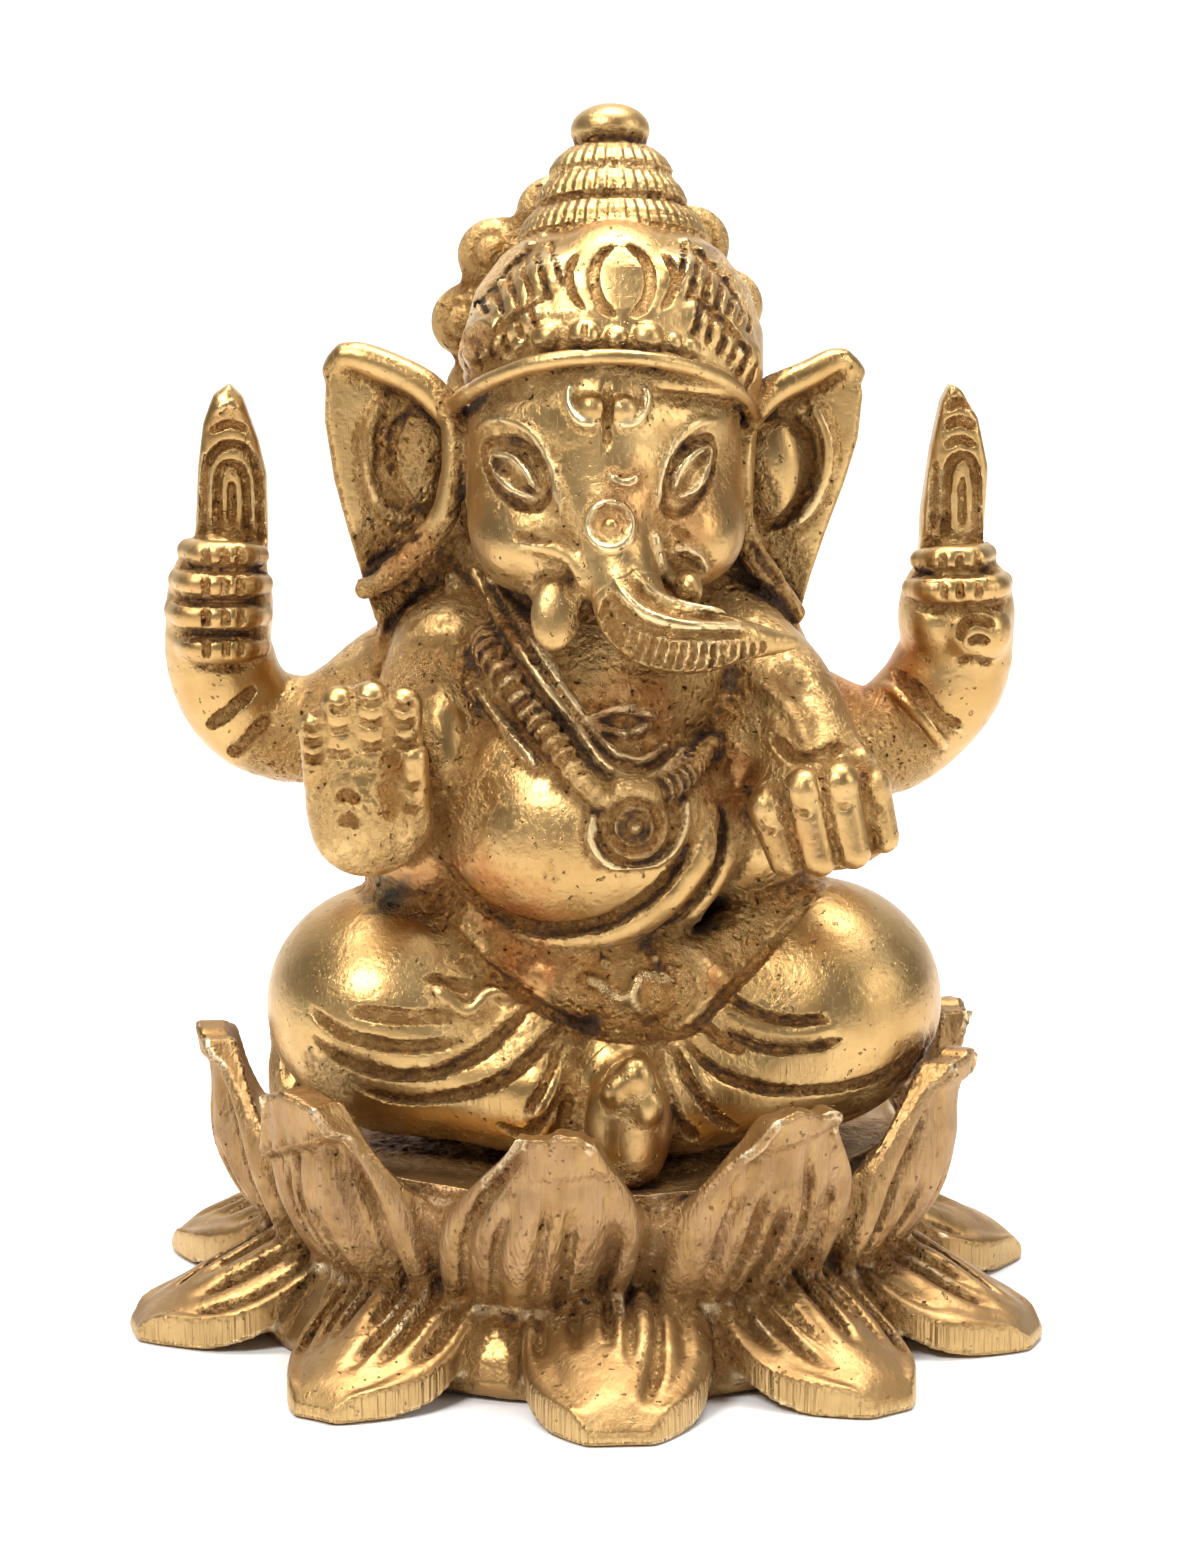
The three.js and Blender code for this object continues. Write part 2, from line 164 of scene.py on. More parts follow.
def egg(centre, radii, tilt=(0, 0, 0)):
    """Ellipsoid, tilted by degrees about X, Y and Z."""
    turn = np.array(Euler([math.radians(a) for a in tilt]).to_matrix().transposed())
    cx, cy, cz = centre
    a, b, c = radii
    reach = np.array(radii) if not any(tilt) else np.full(3, max(radii))

    def distance(x, y, z):
        p, q, r = x - cx, y - cy, z - cz
        if any(tilt):
            p, q, r = [row[0] * (x - cx) + row[1] * (y - cy) + row[2] * (z - cz) for row in turn]
        near = np.sqrt((p / a) ** 2 + (q / b) ** 2 + (r / c) ** 2)
        slope = np.sqrt((p / a**2) ** 2 + (q / b**2) ** 2 + (r / c**2) ** 2)
        return near * (near - 1) / np.maximum(slope, 1e-3)

    return np.array(centre) - reach, np.array(centre) + reach, distance


def rod(start, end, start_radius, end_radius):
    """Round rod that tapers from one point to the other."""
    a = np.array(start, float)
    b = np.array(end, float)
    along = b - a
    length = max(float(along @ along), 1e-9)
    widest = max(start_radius, end_radius)

    def distance(x, y, z):
        p, q, r = x - a[0], y - a[1], z - a[2]
        t = np.clip((p * along[0] + q * along[1] + r * along[2]) / length, 0, 1)
        gap = np.sqrt((p - t * along[0]) ** 2 + (q - t * along[1]) ** 2 + (r - t * along[2]) ** 2)
        return gap - (start_radius + (end_radius - start_radius) * t)

    return np.minimum(a, b) - widest, np.maximum(a, b) + widest, distance


def smooth_line(points, spacing=0.6, closed=False):
    """Points a steady distance apart on a Catmull-Rom curve through the given ones."""
    given = np.array(points, float)
    if closed:
        given = np.vstack([given[-1:], given, given[:2]])
    else:
        given = np.vstack([2 * given[0] - given[1], given, 2 * given[-1] - given[-2]])
    dense = []
    for before, start, end, after in zip(given, given[1:], given[2:], given[3:]):
        for t in np.linspace(0, 1, 16, endpoint=False):
            dense.append(0.5 * (
                2 * start + (end - before) * t
                + (2 * before - 5 * start + 4 * end - after) * t**2
                + (3 * start - before - 3 * end + after) * t**3
            ))
    dense.append(given[-2])
    dense = np.array(dense)
    run = np.concatenate([[0], np.cumsum(np.linalg.norm(np.diff(dense, axis=0), axis=1))])
    count = max(3, int(round(run[-1] / spacing)) + 1)
    steps = np.linspace(0, run[-1], count)
    return np.stack([np.interp(steps, run, dense[:, i]) for i in range(dense.shape[1])], axis=1)


def spread(values, count):
    """A few values spread evenly over a number of places."""
    values = np.atleast_1d(values).astype(float)
    return np.interp(np.linspace(0, 1, count), np.linspace(0, 1, len(values)), values)


def tube(points, radii, spacing=0.6, closed=False):
    line = smooth_line(points, spacing, closed)
    radius = spread(radii, len(line))
    return [rod(a, b, ra, rb) for a, b, ra, rb in zip(line, line[1:], radius, radius[1:])]


def lay(clay, points, radii, spacing=0.6, closed=False, soft=0.0):
    clay.add(*tube(points, radii, spacing, closed), soft=soft)


def barrel(start, end, radius, rounding=0.16):
    """Short cylinder with flat, slightly rounded ends."""
    middle = (start + end) / 2
    axis = (end - start) / max(float(np.linalg.norm(end - start)), 1e-6)
    half = float(np.linalg.norm(end - start)) / 2

    def distance(x, y, z):
        p, q, r = x - middle[0], y - middle[1], z - middle[2]
        t = p * axis[0] + q * axis[1] + r * axis[2]
        across = np.sqrt(np.maximum(p**2 + q**2 + r**2 - t**2, 0))
        u, v = across - radius + rounding, np.abs(t) - half + rounding
        outer = np.sqrt(np.maximum(u, 0) ** 2 + np.maximum(v, 0) ** 2)
        return outer + np.minimum(np.maximum(u, v), 0) - rounding

    return np.minimum(start, end) - radius, np.maximum(start, end) + radius, distance


def ribbed(line, radius, pitch, depth):
    """A string of short barrels along a line, like cord bound with wire."""
    run = np.concatenate([[0], np.cumsum(np.linalg.norm(np.diff(line, axis=0), axis=1))])
    lumps = []
    count = max(2, int(run[-1] / pitch))
    radius = spread(radius, count)
    for i in range(count):
        ends = [np.array([np.interp(s, run, line[:, k]) for k in range(3)])
                for s in ((i + 0.1) * pitch, (i + 0.84) * pitch)]
        lumps.append(barrel(ends[0], ends[1], radius[i]))
    lumps += [rod(a, b, radius.mean() - depth, radius.mean() - depth) for a, b in zip(line, line[1:])]
    return lumps


def front_line(clay, points, rise=0.0, spacing=0.5, closed=False):
    """Brings a line drawn from the front, as (x, z), onto the clay and lifts it by `rise`."""
    flat = smooth_line(points, spacing, closed)
    depth = []
    for x, z in flat:
        i, k = [
            int(np.clip(round(value / clay.step) - clay.first[axis], 0, clay.field.shape[axis] - 1))
            for value, axis in ((x, 0), (z, 2))
        ]
        column = clay.field[i, :, k]
        hits = np.nonzero(column < 0)[0]
        if len(hits) == 0 or hits[0] == 0:
            depth.append(np.nan)
            continue
        j = hits[0]
        before, after = column[j - 1], column[j]
        depth.append((clay.first[1] + j - 1 + before / (before - after)) * clay.step)
    depth = np.array(depth)
    known = ~np.isnan(depth)
    if not known.any():
        raise ValueError("a line drawn from the front misses the clay")
    order = np.arange(len(depth))
    depth = np.interp(order, order[known], depth[known])
    if len(depth) > 4:
        padded = np.concatenate([depth[:1], depth, depth[-1:]])
        depth = (padded[:-2] + 2 * padded[1:-1] + padded[2:]) / 4
    line = np.stack([flat[:, 0], depth, flat[:, 1]], axis=1)
    return line + clay.outward(line) * np.reshape(rise, (-1, 1) if np.ndim(rise) else ())


def along(line, radii):
    radius = spread(radii, len(line))
    return [rod(a, b, ra, rb) for a, b, ra, rb in zip(line, line[1:], radius, radius[1:])]


def engrave(clay, points, radius, depth, closed=False, taper=True, soft=0.15):
    """Cuts a rounded line into the front of the clay, shallower toward its ends."""
    line = front_line(clay, points, 0.0, 0.5, closed)
    fade = np.ones(len(line))
    if taper and not closed:
        fade = np.clip(np.sin(np.linspace(0.12, math.pi - 0.12, len(line))) * 1.9, 0, 1)
    lift = radius * fade - depth * fade
    line = line + clay.outward(line) * lift[:, None]
    clay.cut(*along(line, radius * fade), soft=soft)


def emboss(clay, points, radius, height, closed=False, taper=True, soft=0.3):
    """Lays a rounded ridge on the front of the clay."""
    line = front_line(clay, points, 0.0, 0.5, closed)
    fade = np.ones(len(line))
    if taper and not closed:
        fade = np.clip(np.sin(np.linspace(0.15, math.pi - 0.15, len(line))) * 2.2, 0.15, 1)
    lift = height * fade - radius * fade
    line = line + clay.outward(line) * lift[:, None]
    clay.add(*along(line, radius * fade), soft=soft)


def studs(clay, points, radius, height, soft=0.1):
    """Half-sunk beads on the front of the clay."""
    for x, z in points:
        line = front_line(clay, [(x - 0.1, z), (x, z), (x + 0.1, z)], height - radius)
        clay.add(egg(line[len(line) // 2], (radius, radius, radius)), soft=soft)


def circle(centre, radius, count):
    turns = np.linspace(0, 2 * math.pi, count, endpoint=False)
    return [(centre[0] + radius * math.cos(a), centre[1] + radius * math.sin(a)) for a in turns]


def outline_gap(starts, ends, u, v):
    """Distance in a plane from (u, v) to an outline of straight edges, negative inside it."""
    nearest = np.full(u.shape, 1e9, np.float32)
    inside = np.zeros(u.shape, bool)
    for (au, av), (bu, bv) in zip(starts, ends):
        eu, ev = bu - au, bv - av
        t = np.clip(((u - au) * eu + (v - av) * ev) / max(eu * eu + ev * ev, 1e-9), 0, 1)
        nearest = np.minimum(nearest, (u - au - t * eu) ** 2 + (v - av - t * ev) ** 2)
        if av != bv:
            inside ^= ((av > v) != (bv > v)) & (u < eu * (v - av) / ev + au)
    return np.sqrt(nearest) * np.where(inside, -1, 1)


def outline_plate(outline, middle_y, half_thickness, rounding, bow=0.0):
    """Upright plate with the given (x, z) outline; `bow` brings its left and right edges forward."""
    corners = np.array(outline, float)
    low = np.array([corners[:, 0].min(), middle_y - half_thickness - abs(bow), corners[:, 1].min()])
    high = np.array([corners[:, 0].max(), middle_y + half_thickness + abs(bow), corners[:, 1].max()])
    centre_x = (low[0] + high[0]) / 2
    half_width = (high[0] - low[0]) / 2

    def distance(x, y, z):
        px, pz = np.broadcast_arrays(x[:, 0, 0][:, None], z[0, 0, :][None, :])
        flat = outline_gap(corners, np.roll(corners, -1, axis=0), px, pz)
        middle = middle_y - bow * ((x - centre_x) / half_width) ** 2
        u = flat[:, None, :] + rounding
        v = np.abs(y - middle) - half_thickness + rounding
        outer = np.sqrt(np.maximum(u, 0) ** 2 + np.maximum(v, 0) ** 2)
        return outer + np.minimum(np.maximum(u, v), 0) - rounding

    return low, high, distance


# ---------- the figure, part by part ----------

def figure_clay(low, high):
    return Clay(low, high, FIGURE_STEP)


def torso():
    clay = figure_clay((-24, -22, 30), (25, 15, 75))
    clay.add(egg((SPINE_X, 1, 51), (14, 9.6, 14.5)))
    clay.add(rod((-10.5, 0.5, 56.5), (12.5, 0.5, 55.2), 6.2, 6.2), soft=3)
    clay.add(egg((SPINE_X, -3, 61), (9, 8.5, 7)), soft=3)
    clay.add(egg((SPINE_X, -9, 55), (10.5, 7.6, 7.5)), soft=3)
    clay.add(egg((SPINE_X, 0.5, 64), (14.6, 6, 7)), soft=2)
    clay.add(egg((12, -5, 43), (7, 8.5, 9)), egg((-13.5, -5.5, 43), (6.4, 8, 9)), soft=2)
    clay.add(egg((12.4, -8.6, 48.6), (5.4, 6.6, 7)), egg((-13, -8.4, 48), (4.6, 6.4, 8.5)), soft=2)
    # shawl over the back: a cord from the right shoulder to the left hip, and a belt
    for line, radius in (
        ([(-9, 62.5), (-5.5, 58), (-1, 53), (4, 47.5), (9.5, 41.5)], 0.9),
        ([(-10.6, 61), (-7, 56.4), (-2.6, 51.4), (2.4, 46), (7.6, 40.6)], 0.55),
        ([(-11, 41.5), (-6, 40.4), (0.8, 40), (7.6, 40.4), (12.4, 41.5)], 1.0),
    ):
        behind = [
            0.9 + 9.6 * math.sqrt(max(0, 1 - ((x - SPINE_X) / 14) ** 2 - ((z - 51) / 14.5) ** 2))
            for x, z in line
        ]
        lay(clay, [(x, y, z) for (x, z), y in zip(line, behind)], radius, 0.8, soft=0.5)
    return clay


def belly():
    clay = figure_clay((-19, -25, 28), (17, 12, 60))
    clay.add(egg((-0.8, -5.2, 44.2), (13.8, 15, 12.6)))
    clay.add(egg((-1.5, -9, 43), (11.8, 12, 10.5)), soft=2)
    # the shawl's lower edge: a broad rolled fold under the belly, a second one outside it
    emboss(clay, [
        (-13.4, 39.6), (-11.3, 37.3), (-8, 35.9), (-4, 35.3), (0.4, 35.7), (4.4, 38), (7.4, 41.4),
        (8.9, 45.6)
    ], 1.6, 1.2, soft=0.6)
    emboss(clay, [(2.5, 34.4), (6, 35.8), (8.6, 38.4), (10.3, 42), (10.8, 46)], 1.35, 1.0, soft=0.6)
    engrave(clay, [
        (-13, 42), (-11.4, 39.4), (-9.3, 37.7), (-6.8, 36.7), (-4.3, 36.4), (-0.7, 36.9), (2.1, 38.2),
        (5, 40.6), (7, 43.6)
    ], 0.6, 0.75)
    engrave(clay, [(3.4, 35.6), (6.3, 37.2), (8.6, 40), (9.7, 43), (9.9, 46.5)], 0.5, 0.6)
    # row of tiny beads in the groove
    groove = [(-9.8, 38.4), (-6.8, 36.9), (-4.3, 36.6), (-0.7, 37.1), (2.1, 38.4)]
    studs(clay, smooth_line(groove, 1.05), 0.36, 0.3)
    return clay


def waist_sash():
    clay = figure_clay((-20, -25, 22), (24, 4, 46))
    lay(clay, [
        (-13, -8.4, 37), (-9, -13.4, 34.2), (-3, -16, 31.6), (3, -16.4, 30.8), (8.5, -13.8, 32.4),
        (15, -8.6, 36.4)
    ], [2.6, 2.9, 3.1, 3.1, 2.9, 2.6], 1.5, soft=1)
    clay.add(egg((0.8, -13.8, 32.6), (8, 4.7, 4.2)), soft=1.2)
    return clay


def apron_fold():
    clay = figure_clay((-9, -27, 16), (11, -7, 35))
    clay.add(egg((0.9, -17.2, 22.4), (4.7, 5.2, 6.9)))
    return clay


def right_foot():
    clay = figure_clay((-6, -31, 14), (9, -15, 31))
    clay.add(egg((1.8, -21.2, 21.2), (3.6, 3.7, 5.8), (-10, 0, 0)))
    for place, size in (((0.8, -24.1, 24.4), 1.2), ((2.3, -24, 25.4), 1.5), ((3.1, -24.3, 23.2), 1.35)):
        clay.add(egg(place, (size, size, size * 1.15)), soft=0.9)
    return clay


def seat_cut(clay):
    """Flat underside, a little above the seat."""
    height = SEAT_TOP + 0.4
    below = np.array([-60, -60, -20]), np.array([60, 60, height])
    clay.cut((*below, lambda x, y, z: z - height + 0 * (x + y)))


def leg(side):
    outer = SPINE_X + side * 18
    low, high = (SPINE_X - 2, SPINE_X + 31) if side > 0 else (SPINE_X - 31, SPINE_X + 2)
    clay = figure_clay((low, -29, 15), (high, 16, 41))
    clay.add(rod((SPINE_X + side * 9, 0, 27), (outer, -6, 28), 9.6, 9.3))
    clay.add(egg((outer - side * 0.2, -7.6, 27.6), (10.1, 10.6, 9.2)), soft=3)
    clay.add(rod((SPINE_X + side * 17, -9.5, 25), (SPINE_X + side * 5.5, -16.2, 22.4), 7.2, 5.4), soft=3)
    clay.add(rod((SPINE_X + side * 16, -8, 30.5), (SPINE_X + side * 6, -13.5, 27.5), 6.6, 5.4), soft=2.5)
    seat_cut(clay)
    return clay


def hips():
    clay = figure_clay((-24, -17, 16), (24, 16, 40))
    clay.add(egg((SPINE_X, -1, 26), (20, 14.5, 11.5)))
    seat_cut(clay)
    return clay


def folds(clay):
    """Lines of the clothes over both thighs and the waist, drawn on the joined figure."""
    thigh_lines = [
        # figure's right thigh
        ([(-20.4, 29.6), (-16.4, 29.3), (-12.5, 29.1)], 0.4, 0.4),
        ([(-23.8, 29.3), (-21.5, 27.8), (-18.2, 27), (-15, 26.8), (-12, 27.2)], 0.34, 0.46),
        (
            [
                (-23.6, 27), (-21.1, 25.5), (-17.9, 24.5), (-15.1, 24.4), (-12.9, 24.9), (-10, 26.4),
                (-7.9, 28.2), (-6, 30.2)
            ],
            0.38, 0.54
        ),
        (
            [
                (-20.6, 23.4), (-17.9, 22.4), (-15.1, 22.2), (-11.5, 23), (-7.9, 24.7), (-5, 27.2),
                (-2.8, 29.2)
            ],
            0.38, 0.54
        ),
        ([(-14.3, 32.2), (-12.1, 31.5), (-10.1, 31.6)], 0.35, 0.35),
        ([(-6.2, 22), (-4.6, 24.4), (-3.2, 27.6)], 0.42, 0.5),
        ([(-8.6, 20.6), (-6.4, 20), (-4.4, 22.6), (-3.2, 24.6)], 0.4, 0.46),
        ([(-4.4, 18.6), (-3.6, 21), (-3, 23.4)], 0.45, 0.5),
        # figure's left thigh
        ([(10.2, 30.4), (12, 29.4), (13.5, 28.8), (15.6, 28.4), (18.2, 28.6)], 0.34, 0.46),
        ([(9.6, 28), (12.7, 26.5), (14.5, 26.2), (16.7, 26.3), (19.2, 26.8)], 0.34, 0.46),
        (
            [
                (6.6, 27.1), (9, 25), (11.6, 23.7), (13.8, 22.9), (15.9, 22.6), (18.5, 22.5),
                (20.7, 22.7), (23.9, 23.6), (26.8, 25.2)
            ],
            0.38, 0.54
        ),
        ([(5.6, 26.8), (6.8, 24.4), (8.1, 22.4), (9.3, 21), (10.8, 19.6)], 0.36, 0.5),
        ([(17, 19.4), (19.6, 19.2), (22.4, 19.9)], 0.35, 0.35),
        ([(7.6, 29), (9.6, 27.2), (11.4, 26.2)], 0.4, 0.4),
        ([(5.2, 23.6), (6, 21.4), (7.4, 19.2)], 0.4, 0.46),
    ]
    for points, radius, depth in thigh_lines:
        engrave(clay, points, radius, depth, soft=0.3)
    for points, radius, height in (
        ([(-13.8, 31.6), (-12.4, 30.4), (-10.8, 29.6), (-9.2, 31), (-7.2, 31)], 0.8, 0.5),
        ([(-5.4, 21.6), (-4.2, 24.4), (-2.9, 27.4)], 0.6, 0.45),
        ([(6.4, 21.4), (5.4, 23.8), (4.8, 26.6)], 0.6, 0.45),
        ([(9.8, 29.4), (12.4, 28), (15.8, 27.4), (18.6, 27.8)], 0.7, 0.35),
    ):
        emboss(clay, points, radius, height, soft=0.5)
    # hem of the waistcloth
    engrave(clay, [
        (-12.8, 36.4), (-10.3, 33.8), (-7.1, 31.2), (-3.9, 29.4), (-0.7, 28.2), (3.6, 27.6), (7.2, 28.2),
        (9, 29.8), (10.8, 31.2), (13.7, 33.9), (17.2, 36.9)
    ], 0.4, 0.42)
    # wavy thread and beads on it
    emboss(clay, [
        (-1.8, 32.7), (-0.4, 32), (1, 31), (2.2, 31.2), (3, 32.6), (4.4, 32.5), (6, 31.9)
    ], 0.45, 0.5)
    emboss(clay, [(2.2, 31.2), (2.6, 30.2), (3.2, 29.6)], 0.4, 0.4)
    studs(clay, [(4.2, 33.8), (5.4, 33), (0.2, 33.6)], 0.55, 0.4)


def eye(clay, ring, lower, upper, centre):
    """Sunk socket ring, two raised lids round an almond, and the ball between them."""
    engrave(clay, ring, 0.26, 0.32, closed=True)
    studs(clay, [centre], 1.9, 0.55, soft=0.8)
    emboss(clay, upper, 0.42, 0.5, soft=0.1)
    emboss(clay, lower, 0.38, 0.42, soft=0.1)
    engrave(clay, [upper[0], centre, upper[-1]], 0.3, 0.18)


def head():
    clay = figure_clay((-15, -26, 54), (18, 12, 86))
    clay.add(egg((SPINE_X, -4, 72.8), (11.5, 12.6, 11.4)))
    clay.add(egg((SPINE_X, -8.4, 69), (11.1, 8.2, 6.6)), soft=2)
    clay.add(egg((-4.6, -11, 67.2), (5.4, 5.8, 4.4)), egg((6.6, -10.4, 67.4), (5.2, 5.8, 4.4)), soft=2)
    clay.add(
        egg((SPINE_X, -11, 71), (7.6, 5.6, 6.4)), egg((SPINE_X, -7.4, 77), (10.4, 8.6, 4.8)), soft=2.4
    )
    clay.add(egg((-2.8, -13.4, 66.2), (3.8, 4, 4)), egg((4.8, -13, 66.8), (3.4, 4, 3.8)), soft=1.6)
    # forehead band that runs down into the trunk
    band = [(0.2, -11.8, 80), (0.4, -13.2, 76), (0.6, -14.4, 72), (0.8, -15.9, 68.8), (1.2, -17.4, 65.6)]
    lay(clay, band, [4.6, 4.2, 3.7, 3.1, 2.8], 1.2, soft=2.2)
    return clay


def trunk():
    clay = figure_clay((-8, -29, 50), (21, -8, 80))
    path = [
        (0.7, -14.8, 71), (1, -16.8, 67.8), (1.6, -18.2, 64.6), (2.7, -19.6, 61.8), (5, -20.2, 60.5),
        (8, -19.9, 60), (11, -19, 60), (13.4, -18.2, 59.7), (15, -17.6, 59.6)
    ]
    lay(clay, path, [3.6, 3, 2.9, 3.1, 3.05, 2.75, 2.05, 1.4, 0.7], 0.8)
    # lips above the ribbed front panel
    emboss(clay, [
        (0.6, 65.4), (1.4, 64.2), (3, 62.8), (5.6, 61.9), (8.6, 61.5), (12, 61.2)
    ], 0.45, 0.4, soft=0.2)
    emboss(clay, [(2, 66.2), (3.8, 64.3), (6.6, 63.1), (9.6, 62.5)], 0.4, 0.3, soft=0.2)
    engrave(clay, [
        (0.1, 64.4), (1.1, 62.8), (2.9, 61.7), (5.4, 61.1), (8.4, 60.9), (12.2, 60.6)
    ], 0.32, 0.42)
    engrave(clay, [(1.6, 65.6), (3.4, 63.7), (6, 62.6), (9, 62.1), (12, 61.8)], 0.32, 0.38)
    upper = smooth_line([(-0.2, 64), (0.8, 62.4), (2.7, 61.3), (5.2, 60.7), (8.2, 60.5), (13, 60.2)], 0.1)
    lower = smooth_line([(-1, 61.9), (0.2, 59.8), (2.4, 58.3), (5.2, 57.8), (8.2, 57.8), (13, 58.9)], 0.1)
    ribs = 18
    for i in range(ribs):
        share = (i + 0.5) / ribs
        top = upper[int(share * (len(upper) - 1))]
        bottom = lower[int(share * (len(lower) - 1))]
        engrave(
            clay, [tuple(top), tuple((top + bottom) / 2 + (0.15, 0)), tuple(bottom)], 0.24, 0.34,
            soft=0.05
        )
    return clay


def face_details(clay):
    """Lines of the face, cut once the head and the trunk are one surface."""
    eye(clay,
        [
            (-9.4, 74), (-8.4, 75.3), (-6.3, 75.3), (-4.7, 74), (-4, 72.3), (-4.7, 70.6), (-6.2, 70.4),
            (-8.1, 71.6)
        ],
        [(-8.8, 74), (-7.9, 72.4), (-6.6, 71.5), (-4.9, 71.2)],
        [(-8.8, 74), (-7.3, 74.3), (-6, 73.3), (-4.9, 71.2)],
        (-6.9, 72.8))
    eye(clay,
        [
            (5, 70.4), (5, 72.4), (5.9, 74.4), (7.8, 75.6), (9.3, 75.1), (9, 72.8), (7.6, 70.8),
            (6.2, 69.9)
        ],
        [(5.7, 71.2), (7.2, 71.6), (8.4, 72.9), (9, 75)],
        [(5.7, 71.2), (6, 72.9), (7.3, 74.4), (9, 75)],
        (7.3, 73.1))
    emboss(clay, [
        (-9.8, 76), (-8.6, 77), (-7.2, 77.1), (-5.6, 76.3), (-4.3, 74.4), (-3.6, 72), (-3.2, 70)
    ], 0.45, 0.3, soft=0.4)
    emboss(clay, [(4.3, 70.4), (5, 73.4), (6.2, 75.6), (7.8, 76.9), (9.6, 77)], 0.45, 0.3, soft=0.4)
    # ornament under the brim: two drops beside a stem, with curled ends
    studs(clay, [(-0.85, 78.4), (1.75, 78.3)], 1.3, 0.95, soft=0.2)
    engrave(clay, [(0.45, 80.6), (0.42, 78.4), (0.35, 76.6), (0.3, 75)], 0.28, 0.36)
    emboss(clay, [(-2.3, 80.4), (-2.5, 78.7), (-1.7, 77.5), (-0.4, 77.3)], 0.4, 0.6)
    emboss(clay, [(3.3, 80.2), (3.5, 78.6), (2.6, 77.4), (1.2, 77.2)], 0.4, 0.6)
    emboss(clay, [(0.5, 73.3), (1.2, 72.6), (2.1, 72.5), (2.9, 73.2)], 0.4, 0.5)
    # plain rosette on the brow of the trunk
    rosette = (0.5, 69.3)
    emboss(clay, circle(rosette, 1.75, 8), 0.36, 0.4, closed=True, soft=0.2)
    studs(clay, [rosette], 0.75, 0.5, soft=0.2)
    # cheek pouches, mouth corners and the sleeve round each tusk
    emboss(clay, [(-6.2, 67.6), (-4.4, 67.4), (-2.4, 66.4), (-1.6, 64.6), (-2, 62.8)], 0.8, 0.7, soft=0.7)
    engrave(clay, [(-7.2, 68.2), (-5.4, 68), (-4, 67.9)], 0.3, 0.3)
    emboss(clay, [(4.2, 68.6), (4.4, 66.6), (4.9, 65.2), (5.6, 64.2)], 0.55, 0.5, soft=0.5)
    emboss(clay, [(5.4, 67), (6.8, 67), (8, 66), (8.2, 64.6)], 0.5, 0.45, soft=0.4)
    engrave(clay, [(5.6, 69), (6.4, 68.3), (7.2, 67.9)], 0.25, 0.25)


def tusk(side):
    clay = figure_clay((-9, -24, 57), (12, -9, 69))
    if side < 0:
        clay.add(rod((-3.4, -12.6, 64.2), (-3.7, -16.4, 62.6), 2.4, 1.9))
        clay.add(egg((-3.7, -17.5, 62.1), (2.1, 1.35, 3.2), (-14, 8, 0)), soft=0.4)
    else:
        clay.add(rod((6.2, -13.4, 65.2), (6.9, -17.2, 63.8), 1.9, 1.1))
        clay.add(egg((6.8, -17.1, 63.8), (0.95, 0.9, 1.35)), soft=0.5)
    return clay


